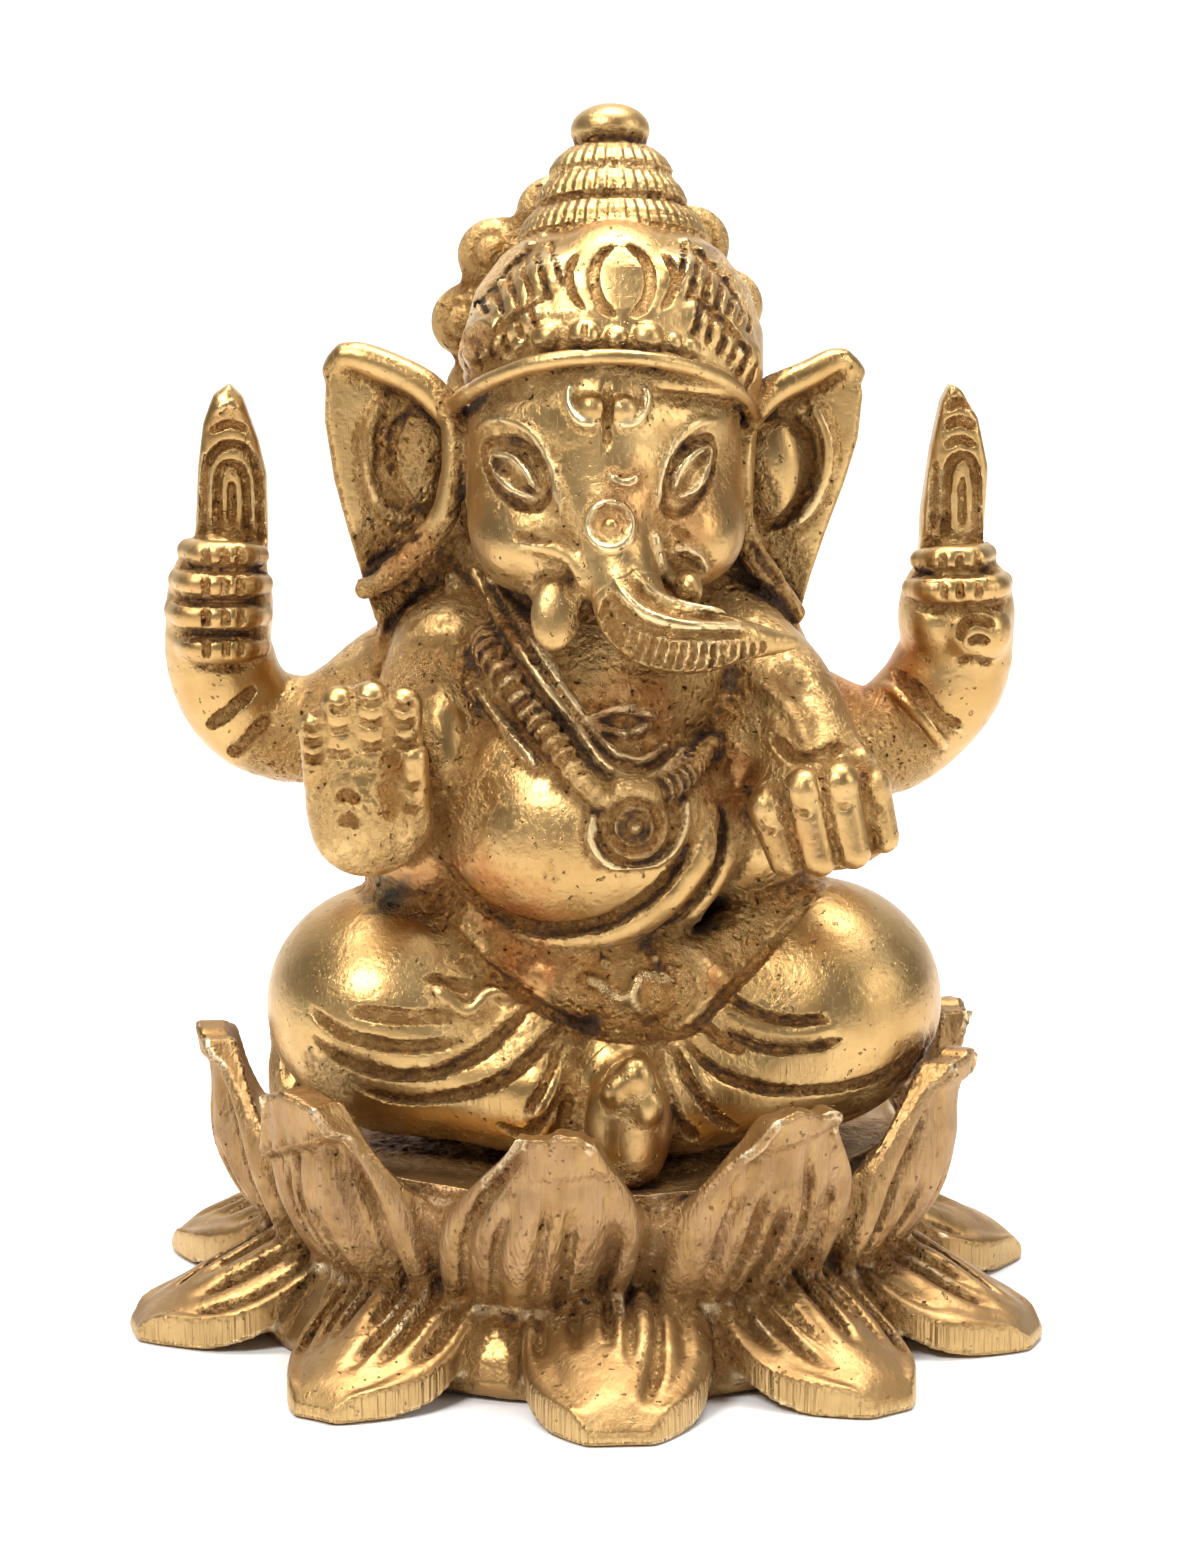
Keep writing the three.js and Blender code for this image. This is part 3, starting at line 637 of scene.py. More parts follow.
def ear(side):
    if side < 0:
        clay = figure_clay((-25, -9, 55), (-8, 6, 85))
        outline = [
            (-10.5, 76.5), (-13, 78.6), (-16.5, 80.2), (-20, 81.6), (-21.4, 81.2), (-22, 79.4),
            (-22.1, 76), (-21.4, 71), (-20.3, 66.6), (-19.2, 62.6), (-18.2, 59.2), (-17.4, 58.4),
            (-15.6, 60.6), (-12, 64), (-10, 66)
        ]
        ridge = [(-17, 78.2), (-18.4, 75.6), (-18.6, 72), (-17.6, 69), (-15.2, 67.6)]
        lobe = [(-14.9, 77.2), (-16.4, 74.9), (-16.5, 72), (-15.3, 69.3), (-13.8, 68.6)]
        lobe_body = ((-14.3, -1.6, 72.8), (2.2, 1.5, 4.2))
        top_rim = [
            (-11.6, -3.4, 76.6), (-14, -2.6, 79), (-17.2, -2, 80.6), (-20.2, -1.4, 81.4),
            (-21.3, -0.8, 80.2)
        ]
        inner_rim = [
            (-11.4, -4.2, 76), (-11.6, -5, 72), (-12.4, -5, 68.6), (-14.4, -4.4, 65.6), (-17, -3.2, 63.2),
            (-19, -2, 62)
        ]
        dark_line = [(-19, 63.8), (-16.4, 65.2), (-14, 67.4)]
    else:
        clay = figure_clay((8, -9, 54), (26, 6, 85))
        outline = [
            (11, 76), (13.4, 78.2), (16, 79.6), (18.8, 80.8), (21, 81.4), (22.3, 80.6), (22.7, 78),
            (22.3, 74.4), (21.2, 70.4), (19.8, 66.4), (18.6, 62.8), (17.8, 59.6), (17.1, 57.4),
            (15.6, 59.2), (12.8, 62.6), (10.6, 66)
        ]
        ridge = [(18.2, 77.6), (19.6, 74.6), (19.6, 71.6), (18.4, 68.6), (16.4, 66.6)]
        lobe = [(16.4, 76.6), (17.8, 74.6), (18.2, 72), (17.3, 69.2), (15.4, 67.2), (13.6, 67.2)]
        lobe_body = ((15, -1.6, 72), (2.6, 1.6, 4.4))
        top_rim = [
            (12.6, -3.4, 76.2), (15, -2.6, 78.4), (18, -2, 79.8), (20.6, -1.4, 80.9), (22, -0.8, 79.8)
        ]
        inner_rim = [
            (12.4, -4.2, 75), (12.2, -5, 71.6), (12.2, -5, 68.4), (13.2, -4.6, 65.2), (15.2, -3.6, 62.4),
            (17.2, -2.2, 59.8)
        ]
        dark_line = [(12.8, 66.4), (14.2, 64.2), (16.2, 62)]
    clay.add(outline_plate(outline, -0.2, 1.2, 0.7, bow=0.9))
    clay.add(egg(*lobe_body), soft=0.8)
    lay(clay, top_rim, [1.3, 1.4, 1.3, 1.25, 1], 0.8, soft=0.5)
    lay(clay, inner_rim, [1.2, 1.1, 1.1, 1.15, 1.1, 0.9], 0.8, soft=0.5)
    emboss(clay, ridge, 0.6, 0.55, soft=0.4)
    engrave(clay, lobe, 0.5, 0.6, soft=0.2)
    engrave(clay, dark_line, 0.35, 0.4)
    return clay


# ---------- the crown ----------

CROWN_BASE = np.array([1.7, -4.6, 78.2])
CROWN_LEAN = math.radians(14)


def crown_point(x, y, h):
    """A place given on the upright crown, after it leans back."""
    s, c = math.sin(CROWN_LEAN), math.cos(CROWN_LEAN)
    return CROWN_BASE + np.array([x, y * c + h * s, -y * s + h * c])


def crown_ring(profile, ribs=0, rib_depth=0.0, rounding=0.4):
    """Turned ring or dome on the crown's axis, from [(radius, height), ...] up its outside."""
    corners = np.array([(0, profile[0][1])] + list(profile) + [(0, profile[-1][1])], float)
    widest = max(radius for radius, _ in profile)
    low = crown_point(0, 0, profile[0][1]) - (widest + 0.5, widest + 0.5, widest * 0.3)
    high = crown_point(0, 0, profile[-1][1]) + (widest + 0.5, widest + 0.5, widest * 0.3)

    def distance(x, y, z):
        s, c = math.sin(CROWN_LEAN), math.cos(CROWN_LEAN)
        p = x - CROWN_BASE[0]
        v, w = y - CROWN_BASE[1], z - CROWN_BASE[2]
        q = v * c - w * s
        h = v * s + w * c + 0 * p
        radius = np.sqrt(p**2 + q**2)
        if ribs:
            radius = radius + rib_depth * (0.5 + 0.5 * np.cos(ribs * np.arctan2(p, -q))) ** 2
        return outline_gap(corners[:-1], corners[1:], radius, h) - rounding

    return low, high, distance


def crown_rim():
    clay = figure_clay((-15, -22, 69), (18, 13, 87))
    front = [
        (-11.2, -6.5, 78), (-10.2, -10.4, 79.2), (-8.2, -13.6, 80.6), (-5.3, -15.9, 81.8),
        (-1.4, -17, 82.4), (3, -17, 82.3), (6.9, -15.5, 81.5), (10, -12.6, 80.1), (12.1, -9, 78.3),
        (13, -5.4, 76.8)
    ]
    back = [
        (13.3, 0, 75.4), (11, 5.6, 74.6), (5.6, 8.8, 74.4), (-1.6, 9, 74.6), (-8, 6.4, 75.2),
        (-11.3, 1, 76.4)
    ]
    lay(clay, front + back, 0.7, 0.7, closed=True)
    return clay


def crown_dome():
    clay = figure_clay((-15, -22, 72), (19, 14, 96))
    clay.add(crown_ring(
        [(11.1, -0.8), (11.8, 1.6), (11.9, 5), (10.9, 8.4), (8.9, 11.2), (6.8, 12.6)], rounding=0.5
    ))
    # a grained cluster of tiny curls above the bands
    curls = [
        (-4.2, 91.4), (-5.4, 90.7), (-6.2, 89.8), (-7.2, 88.9), (-7.9, 87.9), (-8.6, 86.9), (-9.3, 85.8),
        (7.2, 91), (8.4, 90.2), (9.4, 89.2), (10.4, 88), (11.4, 86.6)
    ]
    studs(clay, curls, 0.62, 0.42)
    return clay


def crown_plaque():
    clay = figure_clay((-8, -23, 80), (11, -4, 96))
    clay.add(egg(crown_point(-0.2, -7.9, 8.3), (5.1, 3.3, 5.4), (-37, 0, 0)))
    return clay


def crown_details(clay):
    """Ribbons, leaf and beads round the crown's front, laid on once it is one surface."""
    for line, radius, height, slant in (
        ([(-3.4, 89.4), (-5.2, 88), (-7.4, 86.1), (-9.6, 83.7)], 3.2, 0.6, -0.5),
        ([(-5.4, 85.4), (-7, 84.3), (-9, 82.8), (-10.6, 81)], 2, 0.5, -0.5),
        ([(6.6, 89.2), (8.3, 87.8), (10.2, 86), (11.9, 83.5)], 3.2, 0.6, 0.5),
        ([(7.8, 85.3), (9.4, 84.1), (11.1, 82.5), (12.6, 80.6)], 2, 0.5, 0.5),
    ):
        emboss(clay, line, radius, height, taper=False, soft=0.15)
        reach = math.sqrt(radius**2 - (radius - height) ** 2)
        middles = smooth_line(line, 1.4)
        for (x, z), (along_x, along_z) in zip(middles, np.gradient(middles, axis=0)):
            length = math.hypot(along_x, along_z)
            side = np.array([slant * abs(along_z) / length, abs(along_x) / length + 0.3])
            side = side / np.linalg.norm(side) * reach * 0.9
            engrave(clay, [
                (x - side[0], z - side[1]), (x, z), (x + side[0], z + side[1])
            ], 0.24, 0.36, taper=False, soft=0.05)
    for line in (
        [(-4, 87.2), (-6, 85.9), (-8.2, 84.2), (-10.3, 81.9)],
        [(7.4, 87), (9, 85.7), (10.9, 83.9), (12.4, 81.7)],
        [(-4.6, 91), (-6.6, 89.4), (-8.7, 87.2), (-10.3, 84.8)],
        [(7.6, 90.8), (9.2, 89.4), (11, 87.2), (12.6, 84.8)],
    ):
        engrave(clay, line, 0.3, 0.42, soft=0.05)
    # leaf on the plaque, with a curved stroke to each side of it
    middle = 1.75
    leaf = [
        (middle - 0.4, 91), (middle - 1.9, 89.8), (middle - 2.3, 88.1), (middle - 1.7, 86.4),
        (middle - 0.5, 85.4)
    ]
    flank = [(-1.5, 90.6), (-2.4, 89), (-2.2, 87.2), (-1.2, 85.8)]
    for line, radius, depth in ((leaf, 0.42, 0.5), (flank, 0.3, 0.36)):
        engrave(clay, line, radius, depth)
        engrave(clay, [(2 * middle - x, z) for x, z in line], radius, depth)
    # beads above the brim
    studs(clay, [(-4.3, 83.7), (3.7, 83.8)], 1.5, 0.85)
    studs(clay, [(-1.35, 83.9)], 1.45, 0.95)
    studs(clay, [(1.2, 83.7)], 1.2, 0.7)
    studs(clay, [(5.8, 83.4), (7.2, 83), (-6.3, 83.1)], 0.95, 0.5)
    engrave(clay, [(-1.35, 85.2), (-1.35, 83.9), (-1.35, 82.9)], 0.2, 0.25)


TIERS = {
    "crown_tier_lower": [(7.2, 12.6), (7.6, 13.1), (7.2, 14.2), (6.5, 15)],
    "crown_tier_middle": [(5.9, 15.6), (6.1, 16.1), (5.7, 17), (5, 17.8)],
    "crown_tier_upper": [(4.7, 18.3), (4.9, 18.7), (4.4, 19.5), (3.6, 20.2)],
}


def crown_tier(name):
    profile = TIERS[name]
    centre = crown_point(0, 0, profile[1][1])
    reach = profile[1][0] + 2
    clay = figure_clay(centre - (reach, reach, 5), centre + (reach, reach, 5))
    ribs = int(2 * math.pi * profile[1][0] / 0.95)
    clay.add(crown_ring(profile, ribs, 0.3, rounding=0.3))
    clay.add(crown_ring(
        [(profile[0][0] - 1.1, profile[0][1] - 1.1), (profile[-1][0] - 1.4, profile[-1][1] + 0.4)],
        rounding=0.2
    ))
    return clay


def crown_finial():
    centre = crown_point(0, 0, 22.2)
    clay = figure_clay(centre - (6, 6, 6), centre + (6, 6, 5))
    clay.add(egg(centre, (3.35, 3.25, 2.3), (-14, 0, 0)))
    clay.add(rod(crown_point(0, 0, 18.8), crown_point(0, 0, 21), 2.7, 2.4), soft=0.5)
    return clay


def back_disc():
    clay = figure_clay((-17, 2, 65), (20, 17, 100))
    lobes, rays, half_thickness = 11, 16, 2.4
    centre = np.array([1.2, 9.4, 82.6])
    clay.add(egg(centre, (12.6, half_thickness, 12.2)))

    def on_back(radius, angle):
        bulge = half_thickness * math.sqrt(1 - (radius / 12.4) ** 2)
        return tuple(centre + (radius * math.cos(angle), bulge, radius * math.sin(angle)))

    # rings and rays on its back
    for ring in (4, 8):
        spots = [on_back(ring, a) for a in np.linspace(0, 2 * math.pi, rays, endpoint=False)]
        lay(clay, spots, 0.5, 0.8, closed=True, soft=0.2)
    for i in range(rays):
        angle = 2 * math.pi * (i + 0.5) / rays
        clay.add(rod(on_back(4.8, angle), on_back(7.2, angle), 0.45, 0.6), soft=0.2)
    for i in range(lobes):
        angle = 2 * math.pi * (i + 0.35) / lobes
        outward = np.array([math.cos(angle), 0, math.sin(angle)])
        clay.add(egg(centre + outward * (10.9, 0, 10.7), (3.5, 1.9, 3.3)), soft=0.5)
        clay.add(egg(centre + outward * (11.6, 0, 11.4) + (0, -1.7, 0), (1.5, 0.9, 1.5)), soft=0.3)
        clay.add(egg(centre + outward * (11, 0, 10.8) + (0, 1.6, 0), (1.7, 0.9, 1.7)), soft=0.3)
    return clay


# ---------- arms, hands and what they hold ----------

def rear_arm(side):
    if side < 0:
        clay = figure_clay((-40, -7, 38), (-6, 12, 70))
        lay(clay, [
            (-10, 3, 56), (-16.5, 3, 53.4), (-22.5, 3, 49.7), (-27.4, 2.8, 50), (-30.2, 2.4, 52.6),
            (-31.4, 2, 56.5), (-31.4, 1.6, 60)
        ], [6, 5.2, 4.5, 4.5, 4.6, 4.6, 4.2], 1.2)
        engrave(clay, [(-32.4, 50.2), (-30.2, 52), (-28.2, 53.8)], 0.45, 0.5)
        engrave(clay, [(-30.6, 47.6), (-28.8, 49.4), (-27, 51.4)], 0.5, 0.5)
        return clay
    clay = figure_clay((6, -7, 36), (42, 12, 70))
    lay(clay, [
        (12, 3, 54), (18, 3, 50), (24.4, 3, 47.9), (29, 2.8, 51), (31.2, 2.4, 55), (31.4, 1.8, 59)
    ], [5.6, 4.9, 4.7, 4.9, 5.1, 4.6], 1.2)
    emboss(clay, [(25, 53.2), (26.4, 52.2), (28.2, 50.4), (30, 48)], 0.7, 0.6, soft=0.3)
    emboss(clay, [(27.4, 53), (29.4, 51), (31.6, 49.4)], 0.5, 0.35, soft=0.3)
    engrave(clay, [(25.6, 54.4), (27.6, 53), (29.6, 50.8), (31.6, 49.8)], 0.4, 0.4)
    return clay


def rear_fist(side):
    if side < 0:
        clay = figure_clay((-40, -9, 50), (-22, 12, 71))
        clay.add(egg((-31.2, 1.4, 60.2), (4.5, 4.2, 6.4)))
        # four fingers wrapped round the emblem, one above the other
        for z, left, right, forward in (
            (65, -33.6, -27.9, 0), (62.6, -34.4, -27.6, 0.5), (60, -34.8, -27.7, 0.7),
            (57.3, -34.2, -27.9, 0.5)
        ):
            lay(clay, [
                (left, 0.2, z + 0.1), (left + 1.4, -1.9 - forward, z),
                (right - 1.6, -2 - forward, z - 0.1), (right, -0.2, z - 0.3)
            ], [1.1, 1.3, 1.3, 1.0], 0.6, soft=0.4)
            for x in (-32.2, -30.6, -29.3):
                engrave(clay, [(x, z + 0.9), (x + 0.1, z), (x, z - 0.9)], 0.2, 0.22)
        engrave(clay, [(-33, 55.6), (-31.6, 55), (-30.2, 55.4)], 0.3, 0.3)
        return clay
    clay = figure_clay((20, -9, 48), (43, 12, 70))
    clay.add(egg((31.2, 1.4, 59), (5, 4.5, 6.2)))
    for z, left, right, forward in ((64.2, 27.9, 33.4, 0), (61.8, 27.2, 34.8, 0.6)):
        lay(clay, [
            (left, -0.2, z - 0.3), (left + 1.6, -2 - forward, z - 0.1), (right - 1.4, -1.9 - forward, z),
            (right, 0.2, z + 0.1)
        ], [1.0, 1.3, 1.3, 1.1], 0.6, soft=0.4)
        for x in (29.4, 30.8, 32.4):
            engrave(clay, [(x, z + 0.9), (x - 0.1, z), (x, z - 0.9)], 0.2, 0.22)
    # curled lower fingers and the ball of the thumb
    clay.add(egg((32.4, -1.4, 58), (3.2, 2.6, 2.9)), soft=0.5)
    clay.add(egg((29, -0.6, 58.6), (2.3, 2.6, 2.6)), soft=0.5)
    engrave(clay, [(30.8, 57.4), (31, 58.8), (32.2, 59.4), (33.6, 58.8)], 0.34, 0.42)
    engrave(clay, [(30.4, 55.4), (32, 55.9), (34, 55.2)], 0.4, 0.45)
    engrave(clay, [(31.4, 57.2), (32.3, 57.8), (33.4, 57.2)], 0.25, 0.3)
    return clay


def emblem(side):
    """Leaf-shaped emblem with nested arches down its front."""
    if side < 0:
        clay = figure_clay((-36, -3, 59), (-24, 7, 81))
        clay.add(outline_plate(
            [
                (-30.1, 78.9), (-31.4, 78), (-32.3, 75.6), (-32.8, 72), (-33.2, 66), (-33, 60.5),
                (-27.4, 60.5), (-27, 66), (-27.1, 71.2), (-27.8, 74.2), (-29, 77.8)
            ],
            2, 1.5, 0.8
        ))
        engrave(clay, [
            (-32.4, 66), (-32.1, 72), (-30, 74), (-27.9, 72), (-27.6, 66)
        ], 0.34, 0.4, taper=False)
        engrave(clay, [
            (-31.2, 66.6), (-31.1, 71.2), (-30, 72.4), (-28.9, 71.2), (-28.8, 66.6)
        ], 0.3, 0.36, taper=False)
        engrave(clay, [(-30, 71), (-30, 66.6)], 0.3, 0.3)
        engrave(clay, [(-31.9, 74.9), (-30, 75.7), (-28.3, 74.9)], 0.28, 0.3)
        emboss(clay, [(-31.2, 76.6), (-30.1, 77.4), (-29.2, 76.6)], 0.35, 0.3)
        return clay
    clay = figure_clay((25, -3, 59), (37, 7, 81))
    clay.add(outline_plate(
        [
            (30.4, 78.8), (29.6, 77.2), (28.8, 73), (28.1, 68), (27.9, 60.5), (33.2, 60.5), (33.5, 66),
            (33.7, 71.6), (32.8, 75.8), (31.4, 78.2)
        ],
        2, 1.5, 0.8
    ))
    engrave(clay, [
        (30, 66), (30.2, 71.2), (31.4, 72.6), (32.5, 71.4), (32.8, 66)
    ], 0.34, 0.4, taper=False)
    engrave(clay, [(31.4, 71), (31.5, 66.4)], 0.26, 0.3)
    for z in (73.6, 75.2, 76.8):
        engrave(clay, [(29.8, z - 0.3), (31.1, z + 0.4), (32.6, z - 0.2)], 0.3, 0.32)
    engrave(clay, [(29, 72.4), (29.1, 69), (29, 66)], 0.3, 0.4)
    return clay


def front_arm(side):
    if side < 0:
        clay = figure_clay((-26, -22, 38), (-5, 5, 64))
        lay(clay, [
            (-11.4, -3.4, 56.4), (-14.6, -7.4, 50.6), (-17, -11.6, 46.4), (-18.2, -15, 45)
        ], [5.6, 4.9, 4.4, 4], 1.5)
        return clay
    clay = figure_clay((4, -24, 40), (28, 4, 66))
    lay(clay, [
        (11, -3.6, 57.4), (14.4, -8.4, 54.6), (16.4, -12.6, 51.4), (17.6, -15.6, 48.4)
    ], [5.2, 4.9, 4.6, 4.3], 1.2)
    engrave(clay, [(13.6, 51.8), (15.4, 50.4), (17.4, 50.6), (19.6, 51.6)], 0.45, 0.45)
    emboss(clay, [(12.4, 56), (14, 55.2), (15.6, 53.4), (16.4, 51.6)], 0.7, 0.5, soft=0.5)
    return clay


def right_front_hand():
    clay = figure_clay((-29, -25, 36), (-8, -9, 62))
    clay.add(egg((-18.9, -16.4, 47), (5.15, 3, 6.4)))
    clay.add(egg((-18.9, -17.4, 44.6), (4.4, 2.2, 3.8)), soft=1)
    clay.add(egg((-19.4, -16.8, 52.4), (4.3, 1.8, 4)), soft=0.6)
    fingers = (
        (-23.2, 54.3, 1.2, 50.6), (-21.1, 56.4, 1.5, 51), (-18.5, 56.8, 1.6, 51.6),
        (-15.9, 56.3, 1.5, 51.8)
    )
    for x, tip, size, root in fingers:
        clay.add(rod(
            (x * 0.9 - 1.9, -17, 48.6), (x, -17.6, tip - size), size * 1.15, size * 1.02
        ), soft=0.45)
    clay.add(rod((-15.4, -16.6, 45), (-15.2, -18.2, 50.6), 1.9, 1.25), soft=0.5)
    for x, tip, size, root in fingers:
        for share in (0.3, 0.62, 0.98):
            z = tip + (root - tip) * share
            engrave(clay, [
                (x - size * 0.75, z + 0.25), (x, z - 0.2), (x + size * 0.75, z + 0.25)
            ], 0.2, 0.24)
    for z in (48.4, 46.4):
        engrave(clay, [(-16, z + 0.3), (-15.2, z - 0.1), (-14.5, z + 0.3)], 0.22, 0.25)
    engrave(clay, [(-21.4, 47.3), (-20.5, 47.9), (-19.7, 47.2)], 0.3, 0.32)
    engrave(clay, [(-21.3, 45.4), (-20.4, 45.9), (-19.6, 45.1)], 0.3, 0.32)
    engrave(clay, [(-16.9, 51), (-17.2, 48.4), (-17, 46)], 0.5, 0.4, soft=0.5)
    return clay


def left_front_hand():
    clay = figure_clay((7, -27, 36), (28, -8, 54))
    clay.add(egg((17.9, -16.8, 45.8), (5.9, 4.2, 4.9)))
    clay.add(egg((18.3, -17.6, 44), (5.3, 2.8, 3.2)), soft=0.6)
    fingers = (
        ((13.2, -19.2, 46.4), (14.6, -19.8, 42.2), 1.6),
        ((16, -20, 47.9), (17.2, -20.6, 42.4), 1.7),
        ((18.9, -20, 48.4), (20, -20.4, 43), 1.75),
        ((21.7, -18.8, 47.8), (22.6, -18.9, 43.8), 1.6),
    )
    for top, bottom, size in fingers:
        clay.add(rod(top, bottom, size, size * 0.9), soft=0.25)
        clay.add(egg((top[0], top[1] - 0.2, top[2] + 0.2), (size * 0.95, size, size)), soft=0.3)
        engrave(clay, [
            (top[0] - 0.8, top[2] - 1.3), (top[0], top[2] - 1.6), (top[0] + 0.8, top[2] - 1.3)
        ], 0.2, 0.22)
    clay.add(rod((18.4, -14.6, 49), (20.6, -17.4, 49.6), 2.6, 1.6), soft=1)
    return clay


# ---------- ornaments over the chest ----------

def garland(body):
    clay = figure_clay((-17, -27, 42), (14, -4, 70))
    left = [
        (-11.9, 63.6), (-10.6, 61), (-9.1, 58.7), (-7.2, 56.1), (-5.5, 53.8), (-3.8, 51.4), (-2.2, 49.2),
        (-0.5, 47.7), (0.6, 47.2)
    ]
    right = [(4.4, 47.8), (6, 48.5), (7.5, 49.5), (9, 50.6)]
    clay.add(
        *ribbed(front_line(body, left, 0.3), [1.1, 1.25, 1.4, 1.4, 1.35, 1.25, 1.1], 1.35, 0.3), soft=0.06
    )
    clay.add(*ribbed(front_line(body, right, 0.3), [1.25, 1.15, 1], 0.85, 0.28), soft=0.06)
    return clay


def pendant(body):
    clay = figure_clay((-4, -28, 38), (9, -14, 52))
    spot = front_line(body, [(2.2, 45.3), (2.3, 45.4), (2.4, 45.5)])[1]
    clay.add(egg(spot + (0, -0.2, 0), (2.8, 1.3, 2.9), (-8, 0, 0)))
    clay.add(rod(spot + (-0.6, 0, 2.2), spot + (0.6, 0, 2.2), 1.8, 1.8), soft=0.5)
    for radius, groove, depth in ((2.05, 0.32, 0.4), (1.05, 0.26, 0.36)):
        engrave(clay, circle((spot[0], spot[2]), radius, 12), groove, depth, closed=True)
    studs(clay, [(spot[0], spot[2])], 0.55, 0.4)
    return clay


def collar(body):
    """Inner necklace and the cords that run beside the garland."""
    clay = figure_clay((-17, -27, 42), (15, -4, 70))
    cords = (
        (
            [
                (-9.6, 63.6), (-7.9, 60.6), (-5.8, 57.8), (-3.6, 54.9), (-1.8, 52.2), (-0.2, 50.1),
                (1.9, 48.7), (4.2, 48.9), (6.4, 50.4)
            ],
            0.62, 0.15
        ),
        (
            [
                (-8.4, 64.2), (-6.6, 61), (-4.4, 57.9), (-2.3, 54.8), (-0.6, 52.2), (1, 50.7), (3, 50.1),
                (5, 51)
            ],
            0.5, 0.15
        ),
        (
            [(-13.3, 61.6), (-11.9, 58.5), (-10.2, 55.6), (-8.5, 53.4), (-7, 51.6), (-5.4, 49.9)], 0.55,
            0.1
        ),
        ([(-0.8, 53.5), (1.7, 54.2), (4, 53.5)], 0.5, 0.1),
        ([(-0.4, 52.7), (1.7, 52.1), (3.8, 52.7)], 0.45, 0.1),
        (
            [(-0.9, 46), (-1.1, 44.2), (0.3, 42.3), (2.8, 41.8), (5.2, 42.9), (6.4, 44.8), (6.5, 46.6)],
            0.5, 0.05
        ),
    )
    for points, radius, rise in cords:
        clay.add(*along(front_line(body, points, rise), radius))
    return clay


# ---------- the lotus ----------

def station_curve(stations):
    """Smooth table from a few given stations, one row per step of the first column."""
    return smooth_line(stations, 0.4)


def read_stations(curve, place):
    """Every later column of the table, read where its first column has the given values."""
    return [np.interp(place, curve[:, 0], column).astype(np.float32) for column in curve.T[1:]]


def petal_clay(angle, reach_low, reach_high, shape):
    """Clay of a petal, from shape(radius, sideways, height) in the frame of its own direction."""
    turn = math.radians(angle)
    out = np.array([math.sin(turn), -math.cos(turn)])
    side = np.array([math.cos(turn), math.sin(turn)])
    reaches = product((reach_low[0], reach_high[0]), (reach_low[1], reach_high[1]))
    corners = np.array([r * out + s * side for r, s in reaches])
    low = np.array([corners[:, 0].min(), corners[:, 1].min(), reach_low[2]])
    high = np.array([corners[:, 0].max(), corners[:, 1].max(), reach_high[2]])

    def distance(x, y, z):
        radius = x * out[0] + y * out[1] + 0 * z
        sideways = x * side[0] + y * side[1] + 0 * z
        value = shape(radius, sideways, z + 0 * radius)
        slopes = np.gradient(value, LOTUS_STEP)
        steep = np.sqrt(slopes[0] ** 2 + slopes[1] ** 2 + slopes[2] ** 2)
        return value / np.clip(steep, 0.7, 3.5)

    clay = Clay(low - 2, high + 2, LOTUS_STEP)
    clay.add((low, high, distance))
    return clay


# radius, half width, height of the top (middle, edge), height of the underside (middle, edge)
LOWER_PETAL = station_curve([
    (22, 5.6, 9.8, 8.6, 5.5, 4.6),
    (24.4, 6.4, 9.6, 7.8, 5, 4),
    (27, 7.1, 8.9, 6, 4.2, 3),
    (30, 7.4, 7.6, 4.2, 2.8, 1.9),
    (33, 7, 6, 2.9, 1.4, 0.8),
    (35.6, 5.8, 4.5, 2.4, 0.2, 0.2),
    (38.2, 3.8, 3, 2.1, 0.05, 0.05),
    (40, 1.9, 2.2, 1.8, 0.05, 0.05),
])
# height, half width, outer radius (middle, edge), inner radius
UPPER_PETAL = station_curve([
    (7.5, 7, 28.2, 25.6, 21.5),
    (9.6, 7.6, 29.8, 26.6, 22.5),
    (12, 8, 31.4, 27.4, 24.5),
    (14.6, 8, 32.4, 28.2, 27),
    (17.2, 7.1, 32.7, 29.2, 28.8),
    (19.6, 5.6, 32.6, 30.2, 29.8),
    (22, 3.9, 32.8, 31.4, 30.4),
    (24.2, 2.9, 33.2, 32.6, 31),
])


def lower_petal(index):
    angle = [1, 33, 66, 105, 143, 181, 213, 246, 285, 323][index]
    chance = np.random.default_rng(400 + index)
    count = 6 + index % 2
    places = np.linspace(-0.78, 0.78, count) + chance.uniform(-0.07, 0.07, count)
    depths = chance.uniform(0.6, 1.5, count)
    lengths = chance.uniform(32.5, 38.5, count)
    tip = 39.9 + chance.uniform(-0.5, 0.3)
    skew = chance.uniform(-0.05, 0.05)

    def shape(radius, sideways, z):
        rows = read_stations(LOWER_PETAL, radius)
        sideways = sideways + skew * (radius - 27)
        across = sideways / rows[0]
        bent = np.minimum(np.abs(across), 1.3) ** 1.8
        top = rows[1] + (rows[2] - rows[1]) * bent
        for place, depth, length in zip(places, depths, lengths):
            fade = np.clip((length - radius) / 3.5, 0, 1) * np.clip((radius - 24) / 1.5, 0.4, 1)
            top = top - depth * fade * np.exp(-(((across - place) * rows[0] / 0.5) ** 2))
        top = top + 0.45 * np.clip((np.abs(across) - 0.72) / 0.16, 0, 1)
        under = rows[3] + (rows[4] - rows[3]) * bent
        body = smooth_max(z - top, under - z, 0.3)
        body = smooth_max(body, np.abs(sideways) - rows[0], 0.3)
        body = smooth_max(body, radius - tip, 0.4)
        body = smooth_max(body, (radius - tip + 0.9) * 0.75 + (z - 2.1) * 0.66, 0.3)
        return np.maximum(body, 21.5 - radius)

    return petal_clay(angle, (21, -10, 0), (40.6, 10, 10.5), shape)


